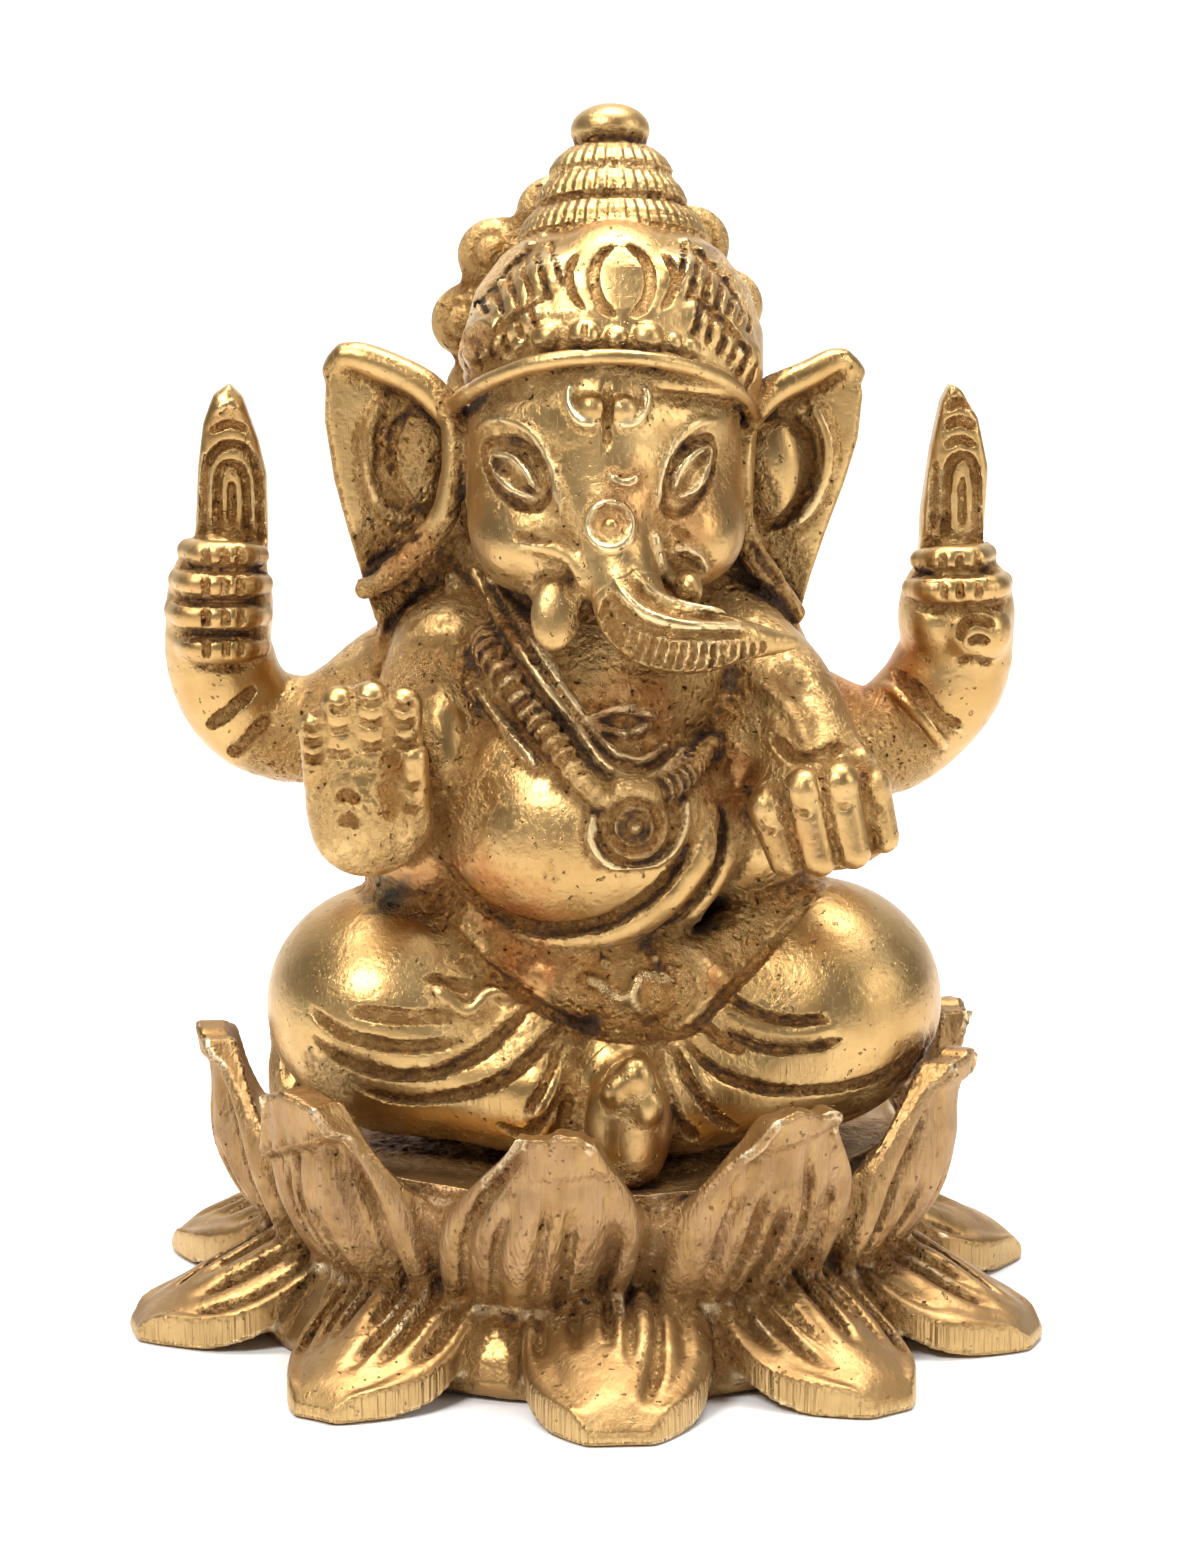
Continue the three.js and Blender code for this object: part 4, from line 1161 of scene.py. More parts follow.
def upper_petal(index):
    angle = [-11, 26, 63, 98, 132, 166, 200, 233, 273, 312][index]
    chance = np.random.default_rng(700 + index)
    count = 5 + index % 2
    places = np.linspace(-0.66, 0.66, count) + chance.uniform(-0.08, 0.08, count)
    depths = chance.uniform(0.6, 1.5, count)
    lengths = chance.uniform(15, 22.5, count)
    hood, hood_drop, hood_slope = chance.uniform(0.3, 0.9), chance.uniform(2.5, 4.5), chance.uniform(-0.3, 0.3)
    if index == 9:
        hood, hood_drop, hood_slope = 1.3, 5, -0.35
    phase = chance.uniform(0, 6.28)
    top_height = [23, 23.8, 24.6, 24.4, 24, 24, 24, 24, 24.6, 24][index]
    lean = [0.2, 0.14, 0.12, 0.02, 0.05, -0.05, 0.04, -0.03, -0.08, -0.1][index]

    def leaf(radius, sideways, z, widen, sink, ceiling, lined):
        stretch = z + (24.2 - ceiling) * np.clip((z - 10) / 14, 0, 1)
        rows = read_stations(UPPER_PETAL, stretch)
        width = rows[0] * widen
        sideways = sideways - lean * (z - 14)
        across = sideways / width
        bent = np.minimum(np.abs(across), 1.4) ** 1.7
        outer = rows[1] + (rows[2] - rows[1]) * bent - sink
        if lined:
            for place, depth, length in zip(places, depths, lengths):
                fade = np.clip((length - z) / 3, 0, 1)
                outer = outer - depth * fade * np.exp(
                    -(((across - place) * width / (0.3 + 0.3 * depth)) ** 2)
                )
            # raised border, and the tip folded over to the outside
            outer = outer + 0.6 * np.clip((np.abs(across) - 0.74) / 0.14, 0, 1)
            outer = outer + hood * np.clip((z - ceiling + hood_drop + hood_slope * sideways) / 0.7, 0, 1)
            # jagged, slightly pointed top edge
            ceiling = ceiling + 0.28 * np.sin(1.3 * sideways + phase) + 0.1 * np.sin(
                3.7 * sideways + 2 * phase
            )
            ceiling = ceiling - 0.12 * np.abs(sideways)
        inner = rows[3] - sink - 0.8 * bent
        body = smooth_max(radius - outer, inner - radius, 0.35)
        body = smooth_max(body, np.abs(sideways) - width, 0.5)
        return smooth_max(body, z - ceiling, 0.4)

    def shape(radius, sideways, z):
        body = leaf(radius, sideways, z, 1, 0, top_height, True)
        wings = leaf(radius, sideways, z, 1.2, 2.2, 17.2, False)
        return np.maximum(smooth_min(body, wings, 0.5), 7 - z)

    return petal_clay(angle, (20, -12, 7), (36, 12, 25.5), shape)


def turned(profile, rounding):
    """Lump turned round the upright axis from a closed (radius, height) outline."""
    corners = np.array(profile, float)
    widest = corners[:, 0].max()

    def distance(x, y, z):
        radius = np.sqrt(x**2 + y**2) + 0 * z
        height = z + 0 * radius
        return outline_gap(corners, np.roll(corners, -1, axis=0), radius, height) - rounding

    low, high = corners[:, 1].min(), corners[:, 1].max()
    return np.array([-widest, -widest, low]), np.array([widest, widest, high]), distance


def lotus_core():
    low, high = CORE_LOW[2], CORE_HIGH[2]
    clay = Clay((-34, -34, low - 3.5), (34, 34, high + 2), LOTUS_STEP)
    outer = CORE_HIGH[0] - 0.3
    # web that joins the roots of the lower petals
    clay.add(turned(
        [(24, 8.4), (27, 6.4), (29.4, 3.6), (30.2, 1.6), (29.6, 0.5), (28.4, 0.5), (26, 3.4), (24, 5.2)],
        0.3
    ))
    clay.add(turned(
        [
            (2.9, high - 0.3), (2.9, high - 2.6), (outer - 3, high - 2.6), (outer - 2.8, low + 0.3),
            (outer, low + 0.3), (outer + 0.6, high - 3), (outer, high - 0.3)
        ],
        0.3
    ))
    return clay


def seat_plate():
    low, high = PLATE_LOW[2], PLATE_HIGH[2]
    clay = Clay((-30, -30, low - 2), (30, 30, high + 2), LOTUS_STEP)
    outer = PLATE_HIGH[0] - 0.6
    clay.add(turned(
        [
            (2.2, low + 0.3), (outer - 1.4, low + 0.3), (outer, low + 2.2), (outer - 0.2, high - 0.4),
            (outer - 1.2, high - 0.8), (2.2, high - 0.8)
        ],
        0.3
    ))
    return clay


# ---------- hammered and sand-cast surface ----------

def soft_noise(clay, wavelength, seed):
    """Slow seeded unevenness over a whole block of clay."""
    chance = np.random.default_rng(seed)
    weights = []
    lattice_size = []
    for axis in range(3):
        spots = (clay.first[axis] + np.arange(clay.field.shape[axis])) * clay.step / wavelength
        start = math.floor(spots[0]) - 1
        count = int(math.floor(spots[-1])) - start + 3
        weight = np.zeros((len(spots), count), np.float32)
        base = np.floor(spots).astype(int)
        t = spots - base
        for offset, value in enumerate((
            (1 - t) ** 3 / 6,
            (3 * t**3 - 6 * t**2 + 4) / 6,
            (-3 * t**3 + 3 * t**2 + 3 * t + 1) / 6,
            t**3 / 6,
        )):
            weight[np.arange(len(spots)), base - start - 1 + offset] = value
        weights.append(weight)
        lattice_size.append(count)
    lattice = chance.uniform(-1, 1, lattice_size).astype(np.float32)
    lattice = np.tensordot(weights[0], lattice, (1, 0))
    lattice = np.tensordot(lattice, weights[1], (1, 1)).transpose(0, 2, 1)
    return np.tensordot(lattice, weights[2], (2, 1))


LATTICE = np.random.default_rng(29).uniform(-1, 1, (LATTICE_SIZE,) * 3).astype(np.float32)


def speckle(points, wavelength, shift=0.0):
    """Seeded lumpiness at single points, from -1 to 1."""
    spot = points / wavelength + shift
    base = np.floor(spot).astype(int)
    part = (spot - base).astype(np.float32)
    part = part * part * (3 - 2 * part)
    total = np.zeros(len(points), np.float32)
    for steps, share in corner_shares(part):
        total += share * LATTICE[tuple(((base + steps) % LATTICE_SIZE).T)]
    return total


# ---------- from clay to meshes ----------

def skin(clay):
    """Points and four-sided faces of the clay's zero surface, one point to each crossed cell."""
    field = np.pad(clay.field, 1, constant_values=FAR)
    size = np.array(field.shape)
    stride = np.array([size[1] * size[2], size[2], 1])
    inside = field < 0
    owners = []
    crossings = []
    rings = []
    for axis in range(3):
        lower = tuple(slice(0, -1) if a == axis else slice(None) for a in range(3))
        upper = tuple(slice(1, None) if a == axis else slice(None) for a in range(3))
        spots = np.argwhere(inside[lower] != inside[upper])
        start = field[tuple(spots.T)]
        stop = field[tuple((spots + np.eye(3, dtype=int)[axis]).T)]
        place = spots.astype(np.float32)
        place[:, axis] += start / (start - stop)
        first, second = [a for a in range(3) if a != axis]
        ring = []
        for back_first, back_second in ((0, 0), (1, 0), (1, 1), (0, 1)):
            cell = spots @ stride - back_first * stride[first] - back_second * stride[second]
            owners.append(cell)
            crossings.append(place)
            ring.append(cell)
        ring = np.stack(ring, axis=1)
        flip = (start < 0) == (axis != 1)
        ring[flip] = ring[flip][:, ::-1]
        rings.append(ring)
    owners = np.concatenate(owners)
    crossings = np.concatenate(crossings)
    cells, owner = np.unique(owners, return_inverse=True)
    share = np.bincount(owner)
    points = np.stack([np.bincount(owner, crossings[:, k]) / share for k in range(3)], axis=1)
    faces = np.searchsorted(cells, np.concatenate(rings))
    return (points - 1 + clay.first) * clay.step, faces


def mesh_object(name, points, faces):
    mesh = bpy.data.meshes.new(name)
    mesh.vertices.add(len(points))
    mesh.vertices.foreach_set("co", (points * MM).astype(np.float32).ravel())
    sides = faces.shape[1]
    mesh.loops.add(len(faces) * sides)
    mesh.loops.foreach_set("vertex_index", faces.astype(np.int32).ravel())
    mesh.polygons.add(len(faces))
    mesh.polygons.foreach_set("loop_start", np.arange(0, len(faces) * sides, sides, dtype=np.int32))
    mesh.update(calc_edges=True)
    mesh.shade_smooth()
    piece = bpy.data.objects.new(name, mesh)
    bpy.context.scene.collection.objects.link(piece)
    return piece


def thin_out(piece, hidden):
    """Collapses small faces where the surface is hidden or even, and keeps the detail that shows."""
    group = piece.vertex_groups.new(name="hidden")
    group.add(np.nonzero(hidden)[0].tolist(), 1.0, "REPLACE")
    collapse = piece.modifiers.new("collapse", "DECIMATE")
    collapse.ratio = KEPT
    collapse.vertex_group = group.name
    collapse.vertex_group_factor = BURIED_FACTOR
    graph = bpy.context.evaluated_depsgraph_get()
    mesh = bpy.data.meshes.new_from_object(piece.evaluated_get(graph))
    piece.modifiers.clear()
    old = piece.data
    piece.data = mesh
    bpy.data.meshes.remove(old)
    piece.vertex_groups.clear()


def paint(piece, name, values):
    layer = piece.data.attributes.new(name, "FLOAT", "POINT")
    layer.data.foreach_set("value", values.astype(np.float32))


class Casting:
    """One casting: the joined clay, and the named clays it is shared out between."""

    def __init__(self, low, high, step):
        self.whole = Clay(low, high, step)
        self.shares = []

    def join(self, name, clay, soft):
        self.whole.merge(clay, soft)
        self.shares.append((name, clay))

    def roughen(self, *waves):
        """Slow unevenness over the whole casting: height, wavelength and seed of each wave."""
        self.whole.field += sum(
            height * soft_noise(self.whole, wavelength, seed) for height, wavelength, seed in waves
        )

    def piece(self, clay, rank):
        """The part of the casting within reach of one clay."""
        place = tuple(
            slice(a - b, a - b + n) for a, b, n in zip(clay.first, self.whole.first, clay.field.shape)
        )
        near = Clay((0, 0, 0), (1, 1, 1), clay.step)
        near.first = clay.first
        near.field = np.maximum(self.whole.field[place] + rank * RANK_GAP, clay.field - SHARE)
        solid = np.argwhere(near.field < 0)
        start = np.maximum(solid.min(axis=0) - 2, 0)
        stop = solid.max(axis=0) + 3
        near.field = near.field[start[0]:stop[0], start[1]:stop[1], start[2]:stop[2]]
        near.first = near.first + start
        points, faces = skin(near)
        points = points - near.outward(points) * np.clip(near.sample(points), -0.1, 0.1)[:, None]
        return points, faces


def openness(casting_fields, points, normals, height):
    """How much air stands over each point: 1 in the open, 0 in the bottom of a crevice."""
    probe = points + normals * height
    air = np.full(len(points), height, np.float32)
    for field in casting_fields:
        low = field.first * field.step
        high = low + (np.array(field.field.shape) - 1) * field.step
        within = np.all((probe > low) & (probe < high), axis=1)
        air[within] = np.minimum(air[within], field.sample(probe[within]))
    return np.clip(air / height, 0, 1)


# places left as they came out of the sand: (centre, reach)
SANDY = [
    ((-12, -11, 37), 3.6), ((-7, -15, 33.4), 3.6), ((-1, -18, 31), 3.8), ((5, -17.5, 31.4), 3.8), (
        (10.5, -13.5, 34), 3.8
    ), ((14.5, -9, 37.5), 4.5),
    ((-19, 0, 51), 7.5), ((-25, 1, 48), 6), ((19, 0, 49), 7), ((25, 1, 47), 6), (
        (-14, -8, 54), 5.5
    ), ((14, -7, 45), 6),
    (
        (-15.5, -3, 65), 5.5
    ), ((14.5, -4, 64), 5), ((-16, -2, 74), 4), (
        (2, -15, 54.5), 5.5
    ), ((8.5, -13, 54), 5.5), ((-8, -11, 62), 5),
    ((-8.5, -7, 88), 4.5), ((11.5, -7, 87), 4.5), ((-12.5, -2, 71), 4), ((12.8, -3, 69), 3.6), (
        (-13.5, -8, 44), 4.5
    ), ((0.5, 10, 60), 9), ((0.5, 11, 45), 9),
]
# red-brown tarnish, and the grey metal run in beside the raised hand
STAINED = [
    ((-9.5, -16, 39.5), 5), ((-6, -18.5, 38.4), 3.4), ((10.5, -14, 47.5), 4), ((3, -16, 53.5), 5),
    ((-6, -17, 33), 4), ((8, -15, 31), 4), ((-7, -12, 59), 4)
]
GREYED = [((-14.8, -10, 40.5), 3.4), ((-18, -11.5, 38.8), 3), ((-14, -9, 44), 2.4)]
# handled places that stay bright: trunk, crown front, finger ends, ears' lobes
POLISHED = [
    ((5, -21, 60), 6.5), ((10, -20, 60), 6), ((1.5, -18, 66), 4.5), ((1.8, -15, 87), 5.5),
    ((-20, -18, 54), 5), ((18, -20, 45), 5.5), ((-14.3, -2.6, 72.8), 4), ((15, -2.8, 72), 4.5),
    ((0.8, -17, 78), 5)
]


def near_spots(points, spots):
    total = np.zeros(len(points), np.float32)
    for centre, reach in spots:
        gap = np.linalg.norm(points - np.array(centre), axis=1)
        total = np.maximum(total, np.clip((1 - gap / reach) * 2.2, 0, 1))
    return total


def cast_piece(name, casting, clay, rank, fields):
    """Closed mesh of one named part, with the values its brass reads painted on."""
    points, faces = casting.piece(clay, rank)
    normals = casting.whole.outward(points)
    # air over each point at three reaches, like ambient occlusion; the brass darkens the hollows from it with
    # tarnish, grime and painted shade
    tight = 1 - openness(fields, points, normals, 0.45)
    close = 1 - openness(fields, points, normals, 1.2)
    broad = 1 - openness(fields, points, normals, 2.9)
    cavity = np.clip(0.66 * tight + 0.45 * close + 0.26 * broad, 0, 1.5)
    cavity = cavity * (1 - 0.5 * near_spots(points, POLISHED))
    core = casting.whole.sample(points - normals * 0.7)
    wear = np.clip(1 + core / 0.7, 0, 1)
    sandy = near_spots(points, SANDY) * np.clip(1.3 - 1.2 * wear, 0, 1)
    rough = np.clip((cavity - 0.2) / 0.45 + sandy, 0, 1)
    bumps = 0.6 * speckle(points, 0.85) + 0.5 * speckle(points, 0.52, 7.3)
    buried = casting.whole.sample(points)
    visible = buried > -0.2
    lift = np.where(visible, bumps * rough * GRAIN_DEPTH, 0)
    points = points + normals * lift[:, None]
    piece = mesh_object(name, points, faces)
    paint(piece, "cavity", cavity)
    paint(piece, "wear", wear)
    paint(piece, "sandy", sandy)
    paint(piece, "stained", near_spots(points, STAINED))
    paint(piece, "greyed", near_spots(points, GREYED))
    radius = np.hypot(points[:, 0], points[:, 1])
    edge = np.clip((0.45 - np.abs(normals[:, 2])) / 0.2, 0, 1) * np.clip((radius - 31.5) / 2, 0, 1)
    paint(piece, "filed", edge * np.clip((4.2 - points[:, 2]) / 0.8, 0, 1))
    outward = (normals[:, 0] * points[:, 0] + normals[:, 1] * points[:, 1]) / np.maximum(radius, 1)
    paint(piece, "dulled", np.clip(outward * 2, 0, 1) * np.clip((points[:, 2] - 9) / 3, 0, 1))
    thin_out(piece, buried < -0.25)
    return piece


# ---------- putting the castings together ----------

# rank keeps the surfaces of neighbours a hair apart where they run into each other
FIGURE_PARTS = [
    ("hips", hips, 0, 0),
    ("torso", torso, 2.5, 1),
    ("left_leg", lambda: leg(1), 1.5, 2),
    ("right_leg", lambda: leg(-1), 1.5, 3),
    ("apron_fold", apron_fold, 1.2, 4),
    ("belly", belly, 1.2, 5),
    ("waist_sash", waist_sash, 0.8, 6),
    ("right_foot", right_foot, 0.4, 0),
    ("head", head, 1.4, 2),
    ("left_ear", lambda: ear(1), 0.7, 3),
    ("right_ear", lambda: ear(-1), 0.7, 4),
    ("left_tusk", lambda: tusk(1), 0.3, 0),
    ("right_tusk", lambda: tusk(-1), 0.3, 1),
    ("trunk", trunk, 0.6, 5),
    ("back_disc", back_disc, 0.8, 6),
    ("crown_dome", crown_dome, 0.4, 0),
    ("crown_rim", crown_rim, 0.4, 1),
    ("crown_plaque", crown_plaque, 0.5, 3),
    ("crown_tier_lower", lambda: crown_tier("crown_tier_lower"), 0.3, 2),
    ("crown_tier_middle", lambda: crown_tier("crown_tier_middle"), 0.3, 1),
    ("crown_tier_upper", lambda: crown_tier("crown_tier_upper"), 0.3, 0),
    ("crown_finial", crown_finial, 0.5, 3),
    ("right_rear_arm", lambda: rear_arm(-1), 2, 0),
    ("left_rear_arm", lambda: rear_arm(1), 2, 0),
    ("right_emblem", lambda: emblem(-1), 0.3, 2),
    ("left_emblem", lambda: emblem(1), 0.3, 2),
    ("right_rear_fist", lambda: rear_fist(-1), 0.4, 1),
    ("left_rear_fist", lambda: rear_fist(1), 0.4, 1),
    ("right_front_arm", lambda: front_arm(-1), 1.2, 7),
    ("left_front_arm", lambda: front_arm(1), 1.2, 7),
    ("left_front_hand", left_front_hand, 0.5, 6),
    ("right_front_hand", right_front_hand, 0.5, 6),
]
CHEST_PARTS = [("garland", garland, 0.25, 8), ("collar", collar, 0.25, 9), ("pendant", pendant, 0.3, 10)]


def cast_figure():
    casting = Casting((-41, -31, 13), (43, 18, 107), FIGURE_STEP)
    for name, build, soft, _ in FIGURE_PARTS:
        casting.join(name, build(), soft)
    body = Clay((-16, -28, 38), (14, -2, 70), FIGURE_STEP)
    for name, clay in casting.shares:
        if name in ("belly", "torso", "head"):
            low = np.maximum(clay.first, body.first)
            high = np.minimum(clay.first + clay.field.shape, body.first + body.field.shape)
            into = tuple(slice(a - b, c - b) for a, b, c in zip(low, body.first, high))
            from_ = tuple(slice(a - b, c - b) for a, b, c in zip(low, clay.first, high))
            body.field[into] = smooth_min(body.field[into], clay.field[from_], 1.2)
    for name, build, soft, _ in CHEST_PARTS:
        casting.join(name, build(body), soft)
    face_details(casting.whole)
    crown_details(casting.whole)
    folds(casting.whole)
    casting.roughen((0.2, 7.4, 13), (0.13, 4.6, 11), (0.05, 2.4, 12))
    return casting


def cast_lotus():
    low, high = (-46, -46, -3), (46, 46, 30)
    casting = Casting(low, high, LOTUS_STEP)
    casting.join("lotus_core", lotus_core(), 0)
    casting.join("seat_plate", seat_plate(), 0.8)
    for index in range(PETALS):
        casting.join(f"lower_petal_{index + 1}", lower_petal(index), 1.3)
    for index in range(PETALS):
        casting.join(f"upper_petal_{index + 1}", upper_petal(index), 1.1)
    casting.roughen((0.26, 4.2, 21), (0.2, 1.8, 22))
    _, _, _, height = casting.whole.window(low, high)
    casting.whole.field = np.maximum(casting.whole.field, FLOOR_GAP - height)
    return casting


figure = cast_figure()
lotus = cast_lotus()
castings = [figure.whole, lotus.whole]
figure_ranks = {name: rank for name, _, _, rank in FIGURE_PARTS + CHEST_PARTS}
pieces = {}
for name, clay in figure.shares:
    pieces[name] = cast_piece(f"{name}_cast", figure, clay, figure_ranks[name], castings)
for order, (name, clay) in enumerate(lotus.shares):
    rank = order % 2 + 2 * name.startswith("upper_petal")
    pieces[name] = cast_piece(f"{name}_cast", lotus, clay, rank, castings)


# ---------- materials ----------

class Nodes:
    """A material's node tree, built by naming each node and its inputs."""

    def __init__(self, name):
        self.material = bpy.data.materials.new(name)
        self.material.use_nodes = True
        self.tree = self.material.node_tree
        self.shader = self.tree.nodes["Principled BSDF"]

    def put(self, socket, value):
        if isinstance(value, bpy.types.NodeSocket):
            self.tree.links.new(value, socket)
        else:
            socket.default_value = value

    def add(self, kind, output=0, settings=None, **inputs):
        node = self.tree.nodes.new(kind)
        for key, value in (settings or {}).items():
            setattr(node, key, value)
        for key, value in inputs.items():
            spot = int(key[1:]) if key[0] == "i" and key[1:].isdigit() else key.replace("_", " ")
            self.put(node.inputs[spot], value)
        return node.outputs[output]

    def maths(self, operation, a, b, clamp):
        settings = {"operation": operation, "use_clamp": clamp}
        return self.add("ShaderNodeMath", settings=settings, i0=a, i1=b)

    def times(self, a, b):
        return self.maths("MULTIPLY", a, b, False)

    def plus(self, a, b, clamp=False):
        return self.maths("ADD", a, b, clamp)

    def minus(self, a, b, clamp=False):
        return self.maths("SUBTRACT", a, b, clamp)

    def mix(self, share, a, b):
        settings = {"data_type": "RGBA", "blend_type": "MIX"}
        return self.add("ShaderNodeMix", output=2, settings=settings, i0=share, i6=a, i7=b)

    def ramp(self, value, low, high, start=0.0, stop=1.0):
        smooth = {"interpolation_type": "SMOOTHSTEP"}
        return self.add(
            "ShaderNodeMapRange", settings=smooth, i0=value, i1=low, i2=high, i3=start, i4=stop
        )

    def noise(self, vector, scale, detail=3.0, roughness=0.55, distortion=0.0):
        return self.add(
            "ShaderNodeTexNoise", settings={"noise_dimensions": "3D"}, Vector=vector, Scale=scale,
            Detail=detail, Roughness=roughness, Distortion=distortion
        )

    def stretch(self, vector, scale, turn=(0.0, 0.0, 0.0)):
        return self.add("ShaderNodeMapping", Vector=vector, Scale=scale, Rotation=turn)

    def attribute(self, name):
        return self.add("ShaderNodeAttribute", output="Fac", settings={"attribute_name": name})

    def bump(self, height, strength, distance, normal=None):
        node = self.tree.nodes.new("ShaderNodeBump")
        self.put(node.inputs["Height"], height)
        node.inputs["Strength"].default_value = strength
        node.inputs["Distance"].default_value = distance
        if normal is not None:
            self.put(node.inputs["Normal"], normal)
        return node.outputs[0]


def brass(name, tarnish_and_shade_strength, redness, dullness):
    """Old cast brass: rubbed bright on what stands proud, brown and gritty in what lies deep, where the brown
    and the near-black are partly tarnish and grime, partly painted shade.
    """
    m = Nodes(name)
    place = m.add("ShaderNodeTexCoord", output="Object")
    cavity = m.attribute("cavity")
    wear = m.attribute("wear")
    sandy = m.attribute("sandy")

    cloud = m.noise(place, 90, 3)
    blotch = m.noise(place, 330, 4, 0.6)
    grit = m.noise(place, 1500, 5, 0.65)
    fine = m.noise(place, 4200, 3, 0.6)
    pits = m.add(
        "ShaderNodeTexVoronoi", settings={"feature": "F1"}, Vector=place, Scale=1250.0, Randomness=1.0
    )
    pit_depth = m.ramp(pits, 0.0, 0.42, 1.0, 0.0)

    # how deep in the crevices, spread and broken up by noise; the brown and near-black laid on from it are
    # partly tarnish and grime, partly painted shade
    uneven = m.times(m.minus(blotch, 0.5), 1.6)
    grain_push = m.times(m.minus(grit, 0.5), 2.4)
    spread_out = m.plus(1.0, m.plus(uneven, grain_push))
    deep = m.times(m.plus(cavity, m.times(sandy, 0.3)), spread_out)
    grime_and_shade = m.ramp(deep, 0.48, 1.12)
    brown = m.ramp(deep, 0.22, 0.8)
    rubbed = m.ramp(m.plus(wear, m.times(m.minus(blotch, 0.5), 0.5)), 0.22, 0.6)

    gold = m.mix(m.ramp(cloud, 0.3, 0.7), (0.47, 0.29, 0.11, 1), (0.60, 0.40, 0.17, 1))
    gold = m.mix(m.ramp(blotch, 0.35, 0.7, 0.0, 0.45), gold, (0.42, 0.245, 0.085, 1))
    gold = m.mix(m.times(rubbed, 0.6), gold, (0.86, 0.68, 0.38, 1))
    red_spots = m.ramp(m.noise(place, 48, 2), 0.56, 0.72, 0.0, redness)
    gold = m.mix(red_spots, gold, (0.42, 0.13, 0.035, 1))
    if dullness > 0:
        gold = m.mix(m.ramp(blotch, 0.3, 0.6, 0.35, 0.85), gold, (0.33, 0.19, 0.075, 1))
        gold = m.mix(m.times(rubbed, 0.8), gold, (0.84, 0.69, 0.44, 1))
        dulled = m.attribute("dulled")
        streaks = m.noise(m.stretch(place, (900.0, 900.0, 110.0)), 1.0, 3, 0.6)
        gold = m.mix(
            m.times(dulled, m.ramp(streaks, 0.35, 0.65, 0.05, 0.7)), gold, (0.42, 0.265, 0.14, 1)
        )
        filed = m.attribute("filed")
        gold = m.mix(m.times(filed, 0.6), gold, (0.62, 0.43, 0.19, 1))
    stained = m.times(m.attribute("stained"), m.ramp(blotch, 0.3, 0.65, 0.1, 0.75))
    gold = m.mix(stained, gold, (0.30, 0.085, 0.02, 1))
    # brown laid into the hollows: partly tarnish, partly painted shade
    tarnish = m.mix(m.ramp(cloud, 0.35, 0.65), (0.35, 0.145, 0.03, 1), (0.28, 0.13, 0.035, 1))
    colour = m.mix(m.times(brown, tarnish_and_shade_strength), gold, tarnish)
    # near-black in the deepest crevices: partly grime, partly painted shade
    black = m.mix(m.ramp(grit, 0.4, 0.65), (0.012, 0.006, 0.003, 1), (0.065, 0.026, 0.008, 1))
    colour = m.mix(m.times(grime_and_shade, 0.92), colour, black)
    greyed = m.times(m.attribute("greyed"), m.ramp(blotch, 0.35, 0.55))
    colour = m.mix(m.times(greyed, 0.9), colour, (0.075, 0.08, 0.07, 1))
    # pinholes left by the sand
    holes = m.times(
        m.ramp(m.noise(place, 1500, 1), 0.70, 0.76), m.ramp(m.plus(cavity, sandy), 0.02, 0.3, 0.35, 1.0)
    )
    colour = m.mix(m.times(holes, 0.85), colour, (0.02, 0.01, 0.005, 1))

    # scratches from the file and the wire brush, in two directions
    scratch_a = m.noise(m.stretch(place, (6200.0, 5200.0, 260.0), (0.5, 0.35, 0.2)), 1.0, 2, 0.5)
    scratch_b = m.noise(m.stretch(place, (330.0, 5600.0, 5600.0), (0.1, 0.5, -0.4)), 1.0, 2, 0.5)
    scratches = m.plus(m.ramp(scratch_a, 0.56, 0.8), m.times(m.ramp(scratch_b, 0.6, 0.8), 0.7))

    shine = m.ramp(cloud, 0.3, 0.7, 0.3 + dullness, 0.4 + dullness)
    shine = m.plus(shine, m.times(m.ramp(blotch, 0.45, 0.75), 0.09))
    shine = m.plus(shine, m.times(scratches, 0.09))
    shine = m.minus(shine, m.times(rubbed, 0.04))
    shine = m.plus(shine, m.times(brown, 0.06))
    shine = m.plus(shine, m.times(grime_and_shade, 0.2))
    shine = m.minus(shine, m.times(sandy, 0.08), clamp=True)
    if dullness > 0:
        shine = m.plus(shine, m.times(dulled, 0.12), clamp=True)

    gritty = m.plus(m.ramp(deep, 0.12, 0.6, 0.05, 1.0), m.times(sandy, 0.8), clamp=True)
    height = m.times(m.plus(grit, m.times(fine, 0.3)), gritty)
    height = m.minus(height, m.times(m.times(pit_depth, gritty), 0.5))
    height = m.minus(height, m.times(holes, 0.9))
    coarse = m.bump(height, 1.0, 0.0006)
    dents = m.plus(blotch, m.times(m.noise(place, 820, 2), 0.35))
    dented = m.bump(dents, 0.3, 0.00025, coarse)
    lined = m.bump(m.times(scratches, m.ramp(cavity, 0.1, 0.5, 1.0, 0.2)), 0.3, 0.00005, dented)

    if dullness > 0:
        # marks of the file down the cut edges
        strokes = m.noise(m.stretch(place, (2300.0, 2300.0, 90.0)), 1.0, 2, 0.5)
        lined = m.bump(m.times(strokes, filed), 0.9, 0.0006, lined)
        lined = m.bump(m.times(streaks, dulled), 0.7, 0.0008, lined)

    m.put(m.shader.inputs["Base Color"], colour)
    m.put(m.shader.inputs["Metallic"], m.ramp(grime_and_shade, 0.2, 1.0, 1.0, 0.35))
    m.put(m.shader.inputs["Roughness"], shine)
    m.put(m.shader.inputs["Normal"], lined)
    return m.material


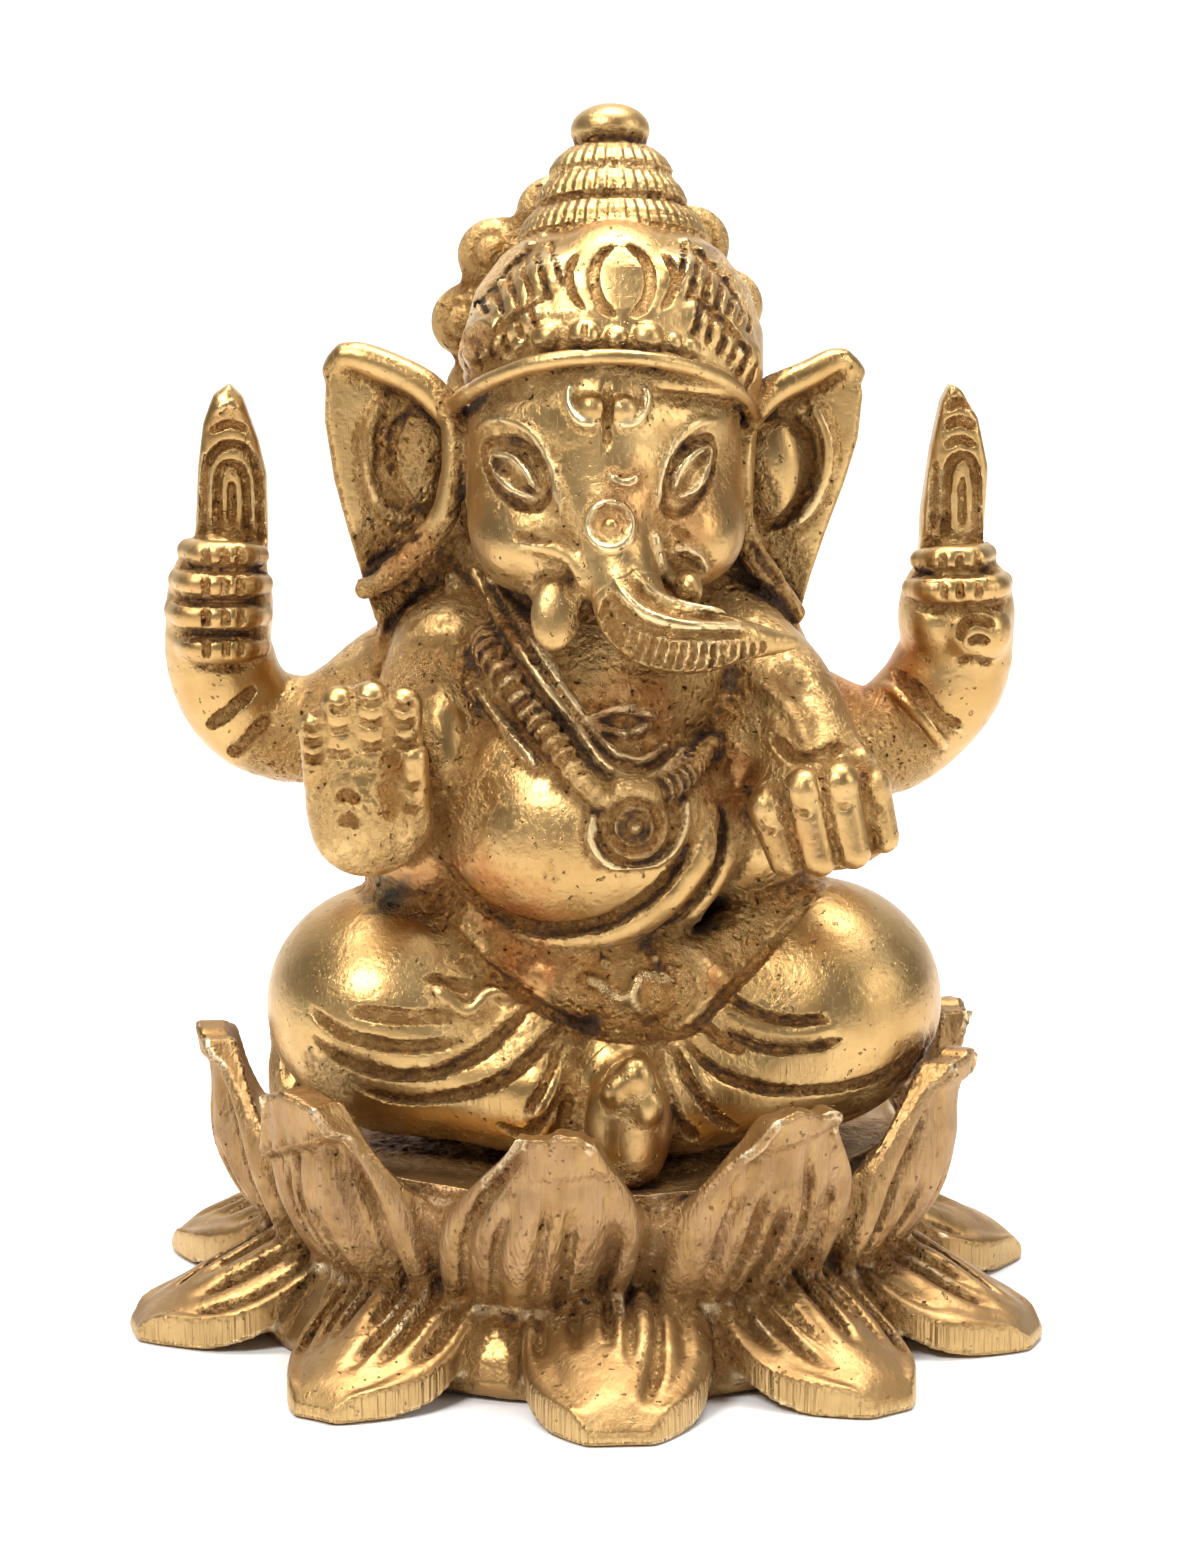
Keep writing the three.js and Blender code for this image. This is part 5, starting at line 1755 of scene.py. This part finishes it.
def steel(name):
    m = Nodes(name)
    place = m.add("ShaderNodeTexCoord", output="Object")
    turned_lines = m.noise(m.stretch(place, (500.0, 500.0, 9000.0)), 1.0, 2)
    cloud = m.noise(place, 420, 4, 0.6)
    m.put(
        m.shader.inputs["Base Color"],
        m.mix(m.ramp(cloud, 0.4, 0.75), (0.50, 0.50, 0.49, 1), (0.24, 0.19, 0.15, 1))
    )
    m.put(m.shader.inputs["Metallic"], 1.0)
    m.put(m.shader.inputs["Roughness"], m.ramp(cloud, 0.3, 0.8, 0.28, 0.55))
    m.put(m.shader.inputs["Normal"], m.bump(m.plus(turned_lines, cloud), 0.3, 0.00005))
    return m.material


FIGURE_BRASS = brass("figure_brass", 0.85, 0.5, 0.0)
LOTUS_BRASS = brass("lotus_brass", 0.8, 0.2, 0.06)
FIXING_STEEL = steel("fixing_steel")

lotus_names = [name for name, _ in lotus.shares]
for name, piece in pieces.items():
    on_lotus = name in lotus_names
    piece.data.materials.append(LOTUS_BRASS if on_lotus else FIGURE_BRASS)
    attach(piece, "root")
    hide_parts(name)
for name in ("fixing_screw", "washer"):
    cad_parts[name].data.materials.clear()
    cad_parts[name].data.materials.append(FIXING_STEEL)


# ---------- floor, light and camera ----------

def sweep():
    """Paper sweep: flat under the statue, curving up into a wall behind it."""
    points = []
    front, bend_start, bend, wall_top, half_width = -3.0, 0.75, 0.6, 3.2, 3.4
    profile = [(front, 0.0), (bend_start, 0.0)]
    for a in np.linspace(0.1, math.pi / 2, 16):
        profile.append((bend_start + bend * math.sin(a), bend - bend * math.cos(a)))
    profile.append((bend_start + bend, wall_top))
    for x in (-half_width, half_width):
        points += [(x, y, z) for y, z in profile]
    count = len(profile)
    faces = np.array([(i, i + count, i + count + 1, i + 1) for i in range(count - 1)])
    return mesh_object("paper_sweep", np.array(points) / MM, faces)


def paper(name):
    m = Nodes(name)
    place = m.add("ShaderNodeTexCoord", output="Object")
    fibre = m.noise(place, 900, 4, 0.6)
    m.put(m.shader.inputs["Base Color"], m.mix(fibre, (0.90, 0.90, 0.905, 1), (0.93, 0.93, 0.93, 1)))
    m.put(m.shader.inputs["Roughness"], 0.6)
    m.put(m.shader.inputs["Specular IOR Level"], 0.2)
    m.put(m.shader.inputs["Normal"], m.bump(fibre, 0.1, 0.00003))
    return m.material


floor = sweep()
floor.data.materials.append(paper("pale_paper"))


def soft_box(name, place, aim, size, power, colour):
    light = bpy.data.lights.new(name, "AREA")
    light.shape = "RECTANGLE"
    light.size, light.size_y = size
    light.energy = power
    light.color = colour
    box = bpy.data.objects.new(name, light)
    box.location = place
    box.rotation_euler = (Vector(aim) - Vector(place)).to_track_quat("-Z", "Y").to_euler()
    bpy.context.scene.collection.objects.link(box)


soft_box("key_box", (-0.36, -0.46, 0.62), (0, 0, 0.05), (0.24, 0.24), 5.0, (1.0, 0.985, 0.96))
soft_box("fill_box", (0.55, -0.3, 0.3), (0, 0, 0.05), (0.2, 0.36), 1.3, (1.0, 0.99, 0.97))
soft_box("top_box", (0.05, 0.1, 0.75), (0, 0, 0.04), (0.4, 0.3), 2.9, (1.0, 1.0, 1.0))
soft_box("rear_box", (0.0, 0.1, 1.6), (0, 1.1, 0.35), (1.8, 0.6), 34.0, (1.0, 1.0, 1.0))

world = bpy.data.worlds.new("studio")
world.use_nodes = True
world.node_tree.nodes["Background"].inputs["Color"].default_value = (0.95, 0.96, 1.0, 1)
world.node_tree.nodes["Background"].inputs["Strength"].default_value = 0.2
bpy.context.scene.world = world

camera_data = bpy.data.cameras.new("photo_camera")
camera_data.sensor_fit = "VERTICAL"
camera_data.sensor_height = 36
camera_data.lens = 93
camera = bpy.data.objects.new("photo_camera", camera_data)
camera.location = (-0.0182, -0.3329, 0.1066)
camera.rotation_euler = Vector((0.056, 0.982, -0.179)).to_track_quat("-Z", "Y").to_euler()
bpy.context.scene.collection.objects.link(camera)
bpy.context.scene.camera = camera
bpy.context.scene.view_settings.view_transform = "Standard"

bpy.context.view_layer.update()
